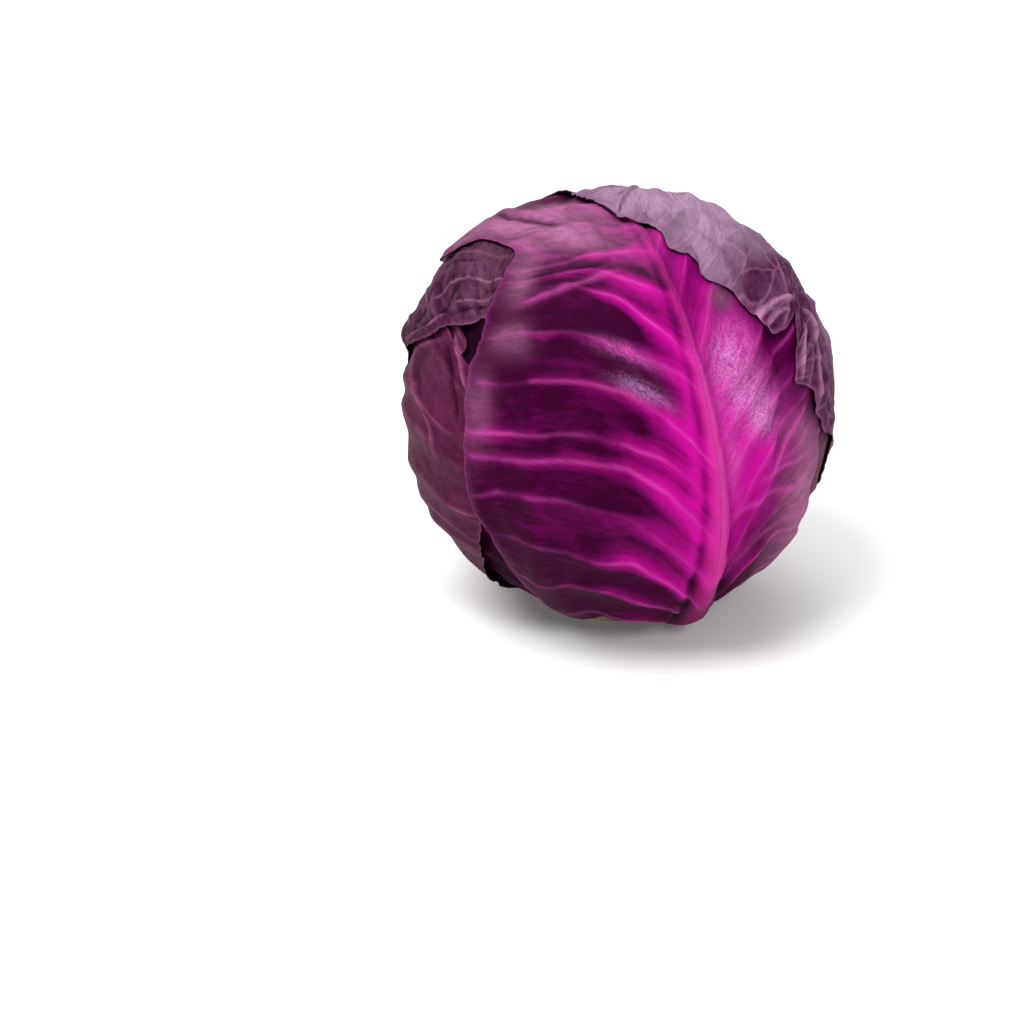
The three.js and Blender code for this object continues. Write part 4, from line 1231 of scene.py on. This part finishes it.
profile = [(ON_AXIS, 0.35), (6, 0.33), (12, 0.30), (16, 0.28), (18.6, 0.22)]  # radius and height
profile += [(flare(0) - 0.4, 0.0), (flare(0), 0.25)] + [(flare(h), h) for h in range(2, 17, 2)]
profile += CORE_PROFILE[:-1] + [(ON_AXIS, CORE_TOP)]
turn = np.radians(np.arange(STEM_SIDES) * 360 / STEM_SIDES)
rng = np.random.default_rng(5)
stump_points = []
for radius, height in profile:  # not quite round, and a little rough where it was cut
    uneven = 1 + 0.012 * wobble(turn / (2 * math.pi) * 12, 31) * (radius > 14) * (height < 20)
    rough = 0.12 * rng.uniform(0, 1, STEM_SIDES) * (height < 0.4) * (radius < 19)
    x, y = radius * uneven * np.sin(turn), -radius * uneven * np.cos(turn)
    stump_points.append(np.stack([x, y, height + rough], -1))
faces = ring_faces(len(profile), STEM_SIDES)[:, ::-1].tolist()
last = (len(profile) - 1) * STEM_SIDES
faces += [list(range(STEM_SIDES)), list(range(last + STEM_SIDES - 1, last - 1, -1))]
stump_mesh = bpy.data.meshes.new("stump")
stump_mesh.from_pydata((np.vstack(stump_points) * MM).tolist(), [], faces)
stump_mesh.shade_smooth()
stump = bpy.data.objects.new("stump", stump_mesh)
bpy.context.scene.collection.objects.link(stump)
print("stump", len(stump_mesh.polygons), "faces, flare", round(flare(0), 2), "mm")


# %% The stem's flesh
def stem_flesh():
    flesh = bpy.data.materials.new("stem_flesh")
    flesh.use_nodes = True
    tree = flesh.node_tree
    shader = tree.nodes["Principled BSDF"]
    place = place_node(tree, "ShaderNodeTexCoord").outputs["Object"]
    parts = place_node(tree, "ShaderNodeSeparateXYZ")
    link(tree, place, parts.inputs[0])
    away = calc(tree, "SQRT", calc(tree, "ADD", calc(tree, "POWER", parts.outputs[0], 2.0),
                                   calc(tree, "POWER", parts.outputs[1], 2.0)))
    fibres = cloudy(tree, stretched(tree, place, 1400, 1400, 120), 1.0, 3, 0.6)
    clouds = cloudy(tree, place, 260, 4, 0.6)
    dry = calc(tree, "MULTIPLY", span(tree, away, 0.0155, 0.0195), span(tree, clouds, 0.3, 0.6, 0.5, 1.0))
    ground = blend(tree, (0.78, 0.71, 0.52), (0.62, 0.52, 0.33), span(tree, fibres, 0.35, 0.7))
    ground = blend(tree, ground, (0.36, 0.23, 0.13), calc(tree, "MULTIPLY", dry, 0.7))
    link(tree, ground, shader.inputs["Base Color"])
    shader.inputs["Roughness"].default_value = 0.78
    surface = place_node(tree, "ShaderNodeBump")
    surface.inputs["Strength"].default_value = 0.7
    surface.inputs["Distance"].default_value = 0.0004
    link(tree, fibres, surface.inputs["Height"])
    link(tree, surface.outputs[0], shader.inputs["Normal"])
    return flesh


flesh = stem_flesh()
stump_mesh.materials.append(flesh)
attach(stump, "root")
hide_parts("cut_stem")
print("the stump has the skin", flesh.name)

# %% [markdown]
# The bundles of fibres end in rings of small bumps on the cut. They repeat round a circle, so a node
# tree sets one flat dome on every point of a circle, with its own size, and then makes them real.

# %% Rings of fibre ends
FIBRE_RINGS = (1.0, 0.86, 0.70)  # shares of the outermost ring's radius
FIBRE_ENDS = {"Ring radius": 0.0152, "End radius": 0.00046, "Height": 0.00032, "Uneven": 0.0004, "Ends": 46,
              "Seed": 4}  # lengths in metres


def build_fibre_tree():
    tree = bpy.data.node_groups.new("fibre_ends", "GeometryNodeTree")
    face = tree.interface
    face.new_socket("Nothing", in_out="INPUT", socket_type="NodeSocketGeometry")
    for name in ("Ring radius", "End radius", "Height", "Uneven"):
        face.new_socket(name, in_out="INPUT", socket_type="NodeSocketFloat")
    for name in ("Ends", "Seed"):
        face.new_socket(name, in_out="INPUT", socket_type="NodeSocketInt")
    face.new_socket("Skin", in_out="INPUT", socket_type="NodeSocketMaterial")
    face.new_socket("Rings", in_out="OUTPUT", socket_type="NodeSocketGeometry")
    given = place_node(tree, "NodeGroupInput").outputs
    rings = place_node(tree, "GeometryNodeJoinGeometry")
    for share in FIBRE_RINGS:
        circle = place_node(tree, "GeometryNodeMeshCircle")
        link(tree, given["Ends"], circle.inputs["Vertices"])
        link(tree, calc(tree, "MULTIPLY", given["Ring radius"], share), circle.inputs["Radius"])
        link(tree, circle.outputs[0], rings.inputs[0])
    shift = place_node(tree, "FunctionNodeRandomValue", data_type="FLOAT_VECTOR")
    link(tree, given["Seed"], shift.inputs["Seed"])
    shift.inputs["Min"].default_value = (-1, -1, 0)
    shift.inputs["Max"].default_value = (1, 1, 0)
    aside = place_node(tree, "ShaderNodeVectorMath", operation="SCALE")
    link(tree, shift.outputs["Value"], aside.inputs[0])
    link(tree, given["Uneven"], aside.inputs["Scale"])
    level = place_node(tree, "ShaderNodeCombineXYZ")
    link(tree, given["Height"], level.inputs["Z"])
    both = place_node(tree, "ShaderNodeVectorMath", operation="ADD")
    link(tree, aside.outputs[0], both.inputs[0])
    link(tree, level.outputs[0], both.inputs[1])
    spots = place_node(tree, "GeometryNodeSetPosition")
    link(tree, rings.outputs[0], spots.inputs["Geometry"])
    link(tree, both.outputs[0], spots.inputs["Offset"])
    dome = place_node(tree, "GeometryNodeMeshIcoSphere")
    link(tree, given["End radius"], dome.inputs["Radius"])
    dome.inputs["Subdivisions"].default_value = 2
    sizes = place_node(tree, "FunctionNodeRandomValue", data_type="FLOAT_VECTOR")
    link(tree, calc(tree, "ADD", given["Seed"], 1.0), sizes.inputs["Seed"])
    sizes.inputs["Min"].default_value = (0.7, 0.7, 0.35)
    sizes.inputs["Max"].default_value = (1.3, 1.1, 0.6)
    place = place_node(tree, "GeometryNodeInstanceOnPoints")
    link(tree, spots.outputs[0], place.inputs["Points"])
    link(tree, dome.outputs["Mesh"], place.inputs["Instance"])
    link(tree, sizes.outputs["Value"], place.inputs["Scale"])
    real = place_node(tree, "GeometryNodeRealizeInstances")
    link(tree, place.outputs[0], real.inputs[0])
    paint = place_node(tree, "GeometryNodeSetMaterial")
    link(tree, real.outputs[0], paint.inputs["Geometry"])
    link(tree, given["Skin"], paint.inputs["Material"])
    link(tree, paint.outputs[0], place_node(tree, "NodeGroupOutput").inputs[0])
    return tree


no_sheet = bpy.data.meshes.new("no_sheet")  # the tree makes its own circles
fibre_ends = grow("fibre_ends", no_sheet, build_fibre_tree(), {**FIBRE_ENDS, "Skin": flesh})
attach(fibre_ends, "root")
print("fibre ends:", len(fibre_ends.data.polygons), "faces")

# %% [markdown]
# The inner head gets the covered leaf's skin, with its painted shade. It has no midrib and no charts of its
# own, so each share is one value all over, and both charts are simply the place in space.

# %% The inner head's skin
heart_mesh.materials.append(SKINS["leaf_front_inner"])
HEART_SHARES = dict(bright=0.4, bloom=0.2, rib_body=0.0, vein=0.0, groove=0.0, gloss_and_painted_sheen=0.0, wrinkle=0.0,
                    pale=0.0, outer=1.0)
for key, amount in HEART_SHARES.items():
    flat = np.full(len(heart_mesh.vertices), amount)
    heart_mesh.attributes.new(key, "FLOAT", "POINT").data.foreach_set("value", flat)
places = np.empty(len(heart_mesh.vertices) * 3)
heart_mesh.vertices.foreach_get("co", places)
for key in ("chart", "drawn"):
    heart_mesh.attributes.new(key, "FLOAT_VECTOR", "POINT").data.foreach_set("vector", places)
print("the inner head's skin is", heart_mesh.materials[0].name)

# %% [markdown]
# ## The floor
# The head stands on white paper that runs out of the picture on all sides. Light alone leaves such
# paper grey, so it glows a little, which is painted light. The glow is weaker under the head and grows
# outwards, in two steps, a painted shadow that keeps the soft shadow dark there while the picture's edges are
# white.

# %% A sheet of white paper
FLOOR_HALF = 12.0
GLOWS = ((0.04, 0.12, 0.06, 0.29), (0.25, 1.6, 0.0, 0.46))  # from, to in metres; glow there and there

corners = [(x * FLOOR_HALF, y * FLOOR_HALF, 0) for x, y in ((-1, -1), (1, -1), (1, 1), (-1, 1))]
floor_mesh = bpy.data.meshes.new("floor")
floor_mesh.from_pydata(corners, [], [(0, 1, 2, 3)])
floor = bpy.data.objects.new("floor", floor_mesh)
bpy.context.scene.collection.objects.link(floor)
paper = bpy.data.materials.new("white_paper")
paper.use_nodes = True
tree = paper.node_tree
sheet = tree.nodes["Principled BSDF"]
sheet.inputs["Base Color"].default_value = (0.9, 0.9, 0.9, 1)
sheet.inputs["Roughness"].default_value = 0.9
sheet.inputs["Specular IOR Level"].default_value = 0.1
sheet.inputs["Emission Color"].default_value = (1, 1, 1, 1)
from_middle = place_node(tree, "ShaderNodeVectorMath", operation="LENGTH")
link(tree, place_node(tree, "ShaderNodeTexCoord").outputs["Object"], from_middle.inputs[0])
near, far = (span(tree, from_middle.outputs["Value"], *glow) for glow in GLOWS)
# painted light: the paper's glow, weaker under the head as a painted shadow
link(tree, calc(tree, "ADD", near, far), sheet.inputs["Emission Strength"])
floor_mesh.materials.append(paper)
print("floor", 2 * FLOOR_HALF, "m wide")

# %% [markdown]
# ## Light
# One large soft light stands above and to the left and does most of the work. A small, weaker
# one at the right front adds a faint reflection to the painted sheen beside the midrib, and a third,
# high behind the head, lights the crown. Disk lamps give the soft edges of such shadows. The surround
# is white near the horizon, where the camera sees it, and dimmer above, so that it doesn't flatten the
# leaves.

# %% Lights and surround
LIGHTS = {  # azimuth and height in degrees, distance and size in metres, power in watts
    "key": (-50, 57, 2.6, 1.6, 70),
    "softbox": (22, 33, 1.3, 0.36, 6),
    "top": (165, 72, 2.4, 1.5, 12),
}
SKY = (0.05, 0.20, 1.0, 0.28)  # from, to as the height of a direction; strength there and there


def soft_light(name, azimuth, height, distance, size, power):
    lamp = bpy.data.lights.new(name, "AREA")
    lamp.shape = "DISK"
    lamp.size = size
    lamp.energy = power
    holder = bpy.data.objects.new(name, lamp)
    bpy.context.scene.collection.objects.link(holder)
    a, h = math.radians(azimuth), math.radians(height)
    toward = Vector((math.sin(a) * math.cos(h), -math.cos(a) * math.cos(h), math.sin(h)))
    holder.location = HEAD_CENTRE + toward * distance
    holder.rotation_euler = (-toward).to_track_quat("-Z", "Y").to_euler()


for name, values in LIGHTS.items():
    soft_light(name, *values)
surround = bpy.data.worlds.new("surround")
surround.use_nodes = True
sky = surround.node_tree
background = sky.nodes["Background"]
height = place_node(sky, "ShaderNodeSeparateXYZ")
link(sky, place_node(sky, "ShaderNodeTexCoord").outputs["Object"], height.inputs[0])
link(sky, span(sky, height.outputs["Z"], *SKY), background.inputs["Strength"])
background.inputs["Color"].default_value = (1, 1, 1, 1)
bpy.context.scene.world = surround
bpy.context.scene.view_settings.view_transform = "Standard"
print("lights:", sorted(LIGHTS))
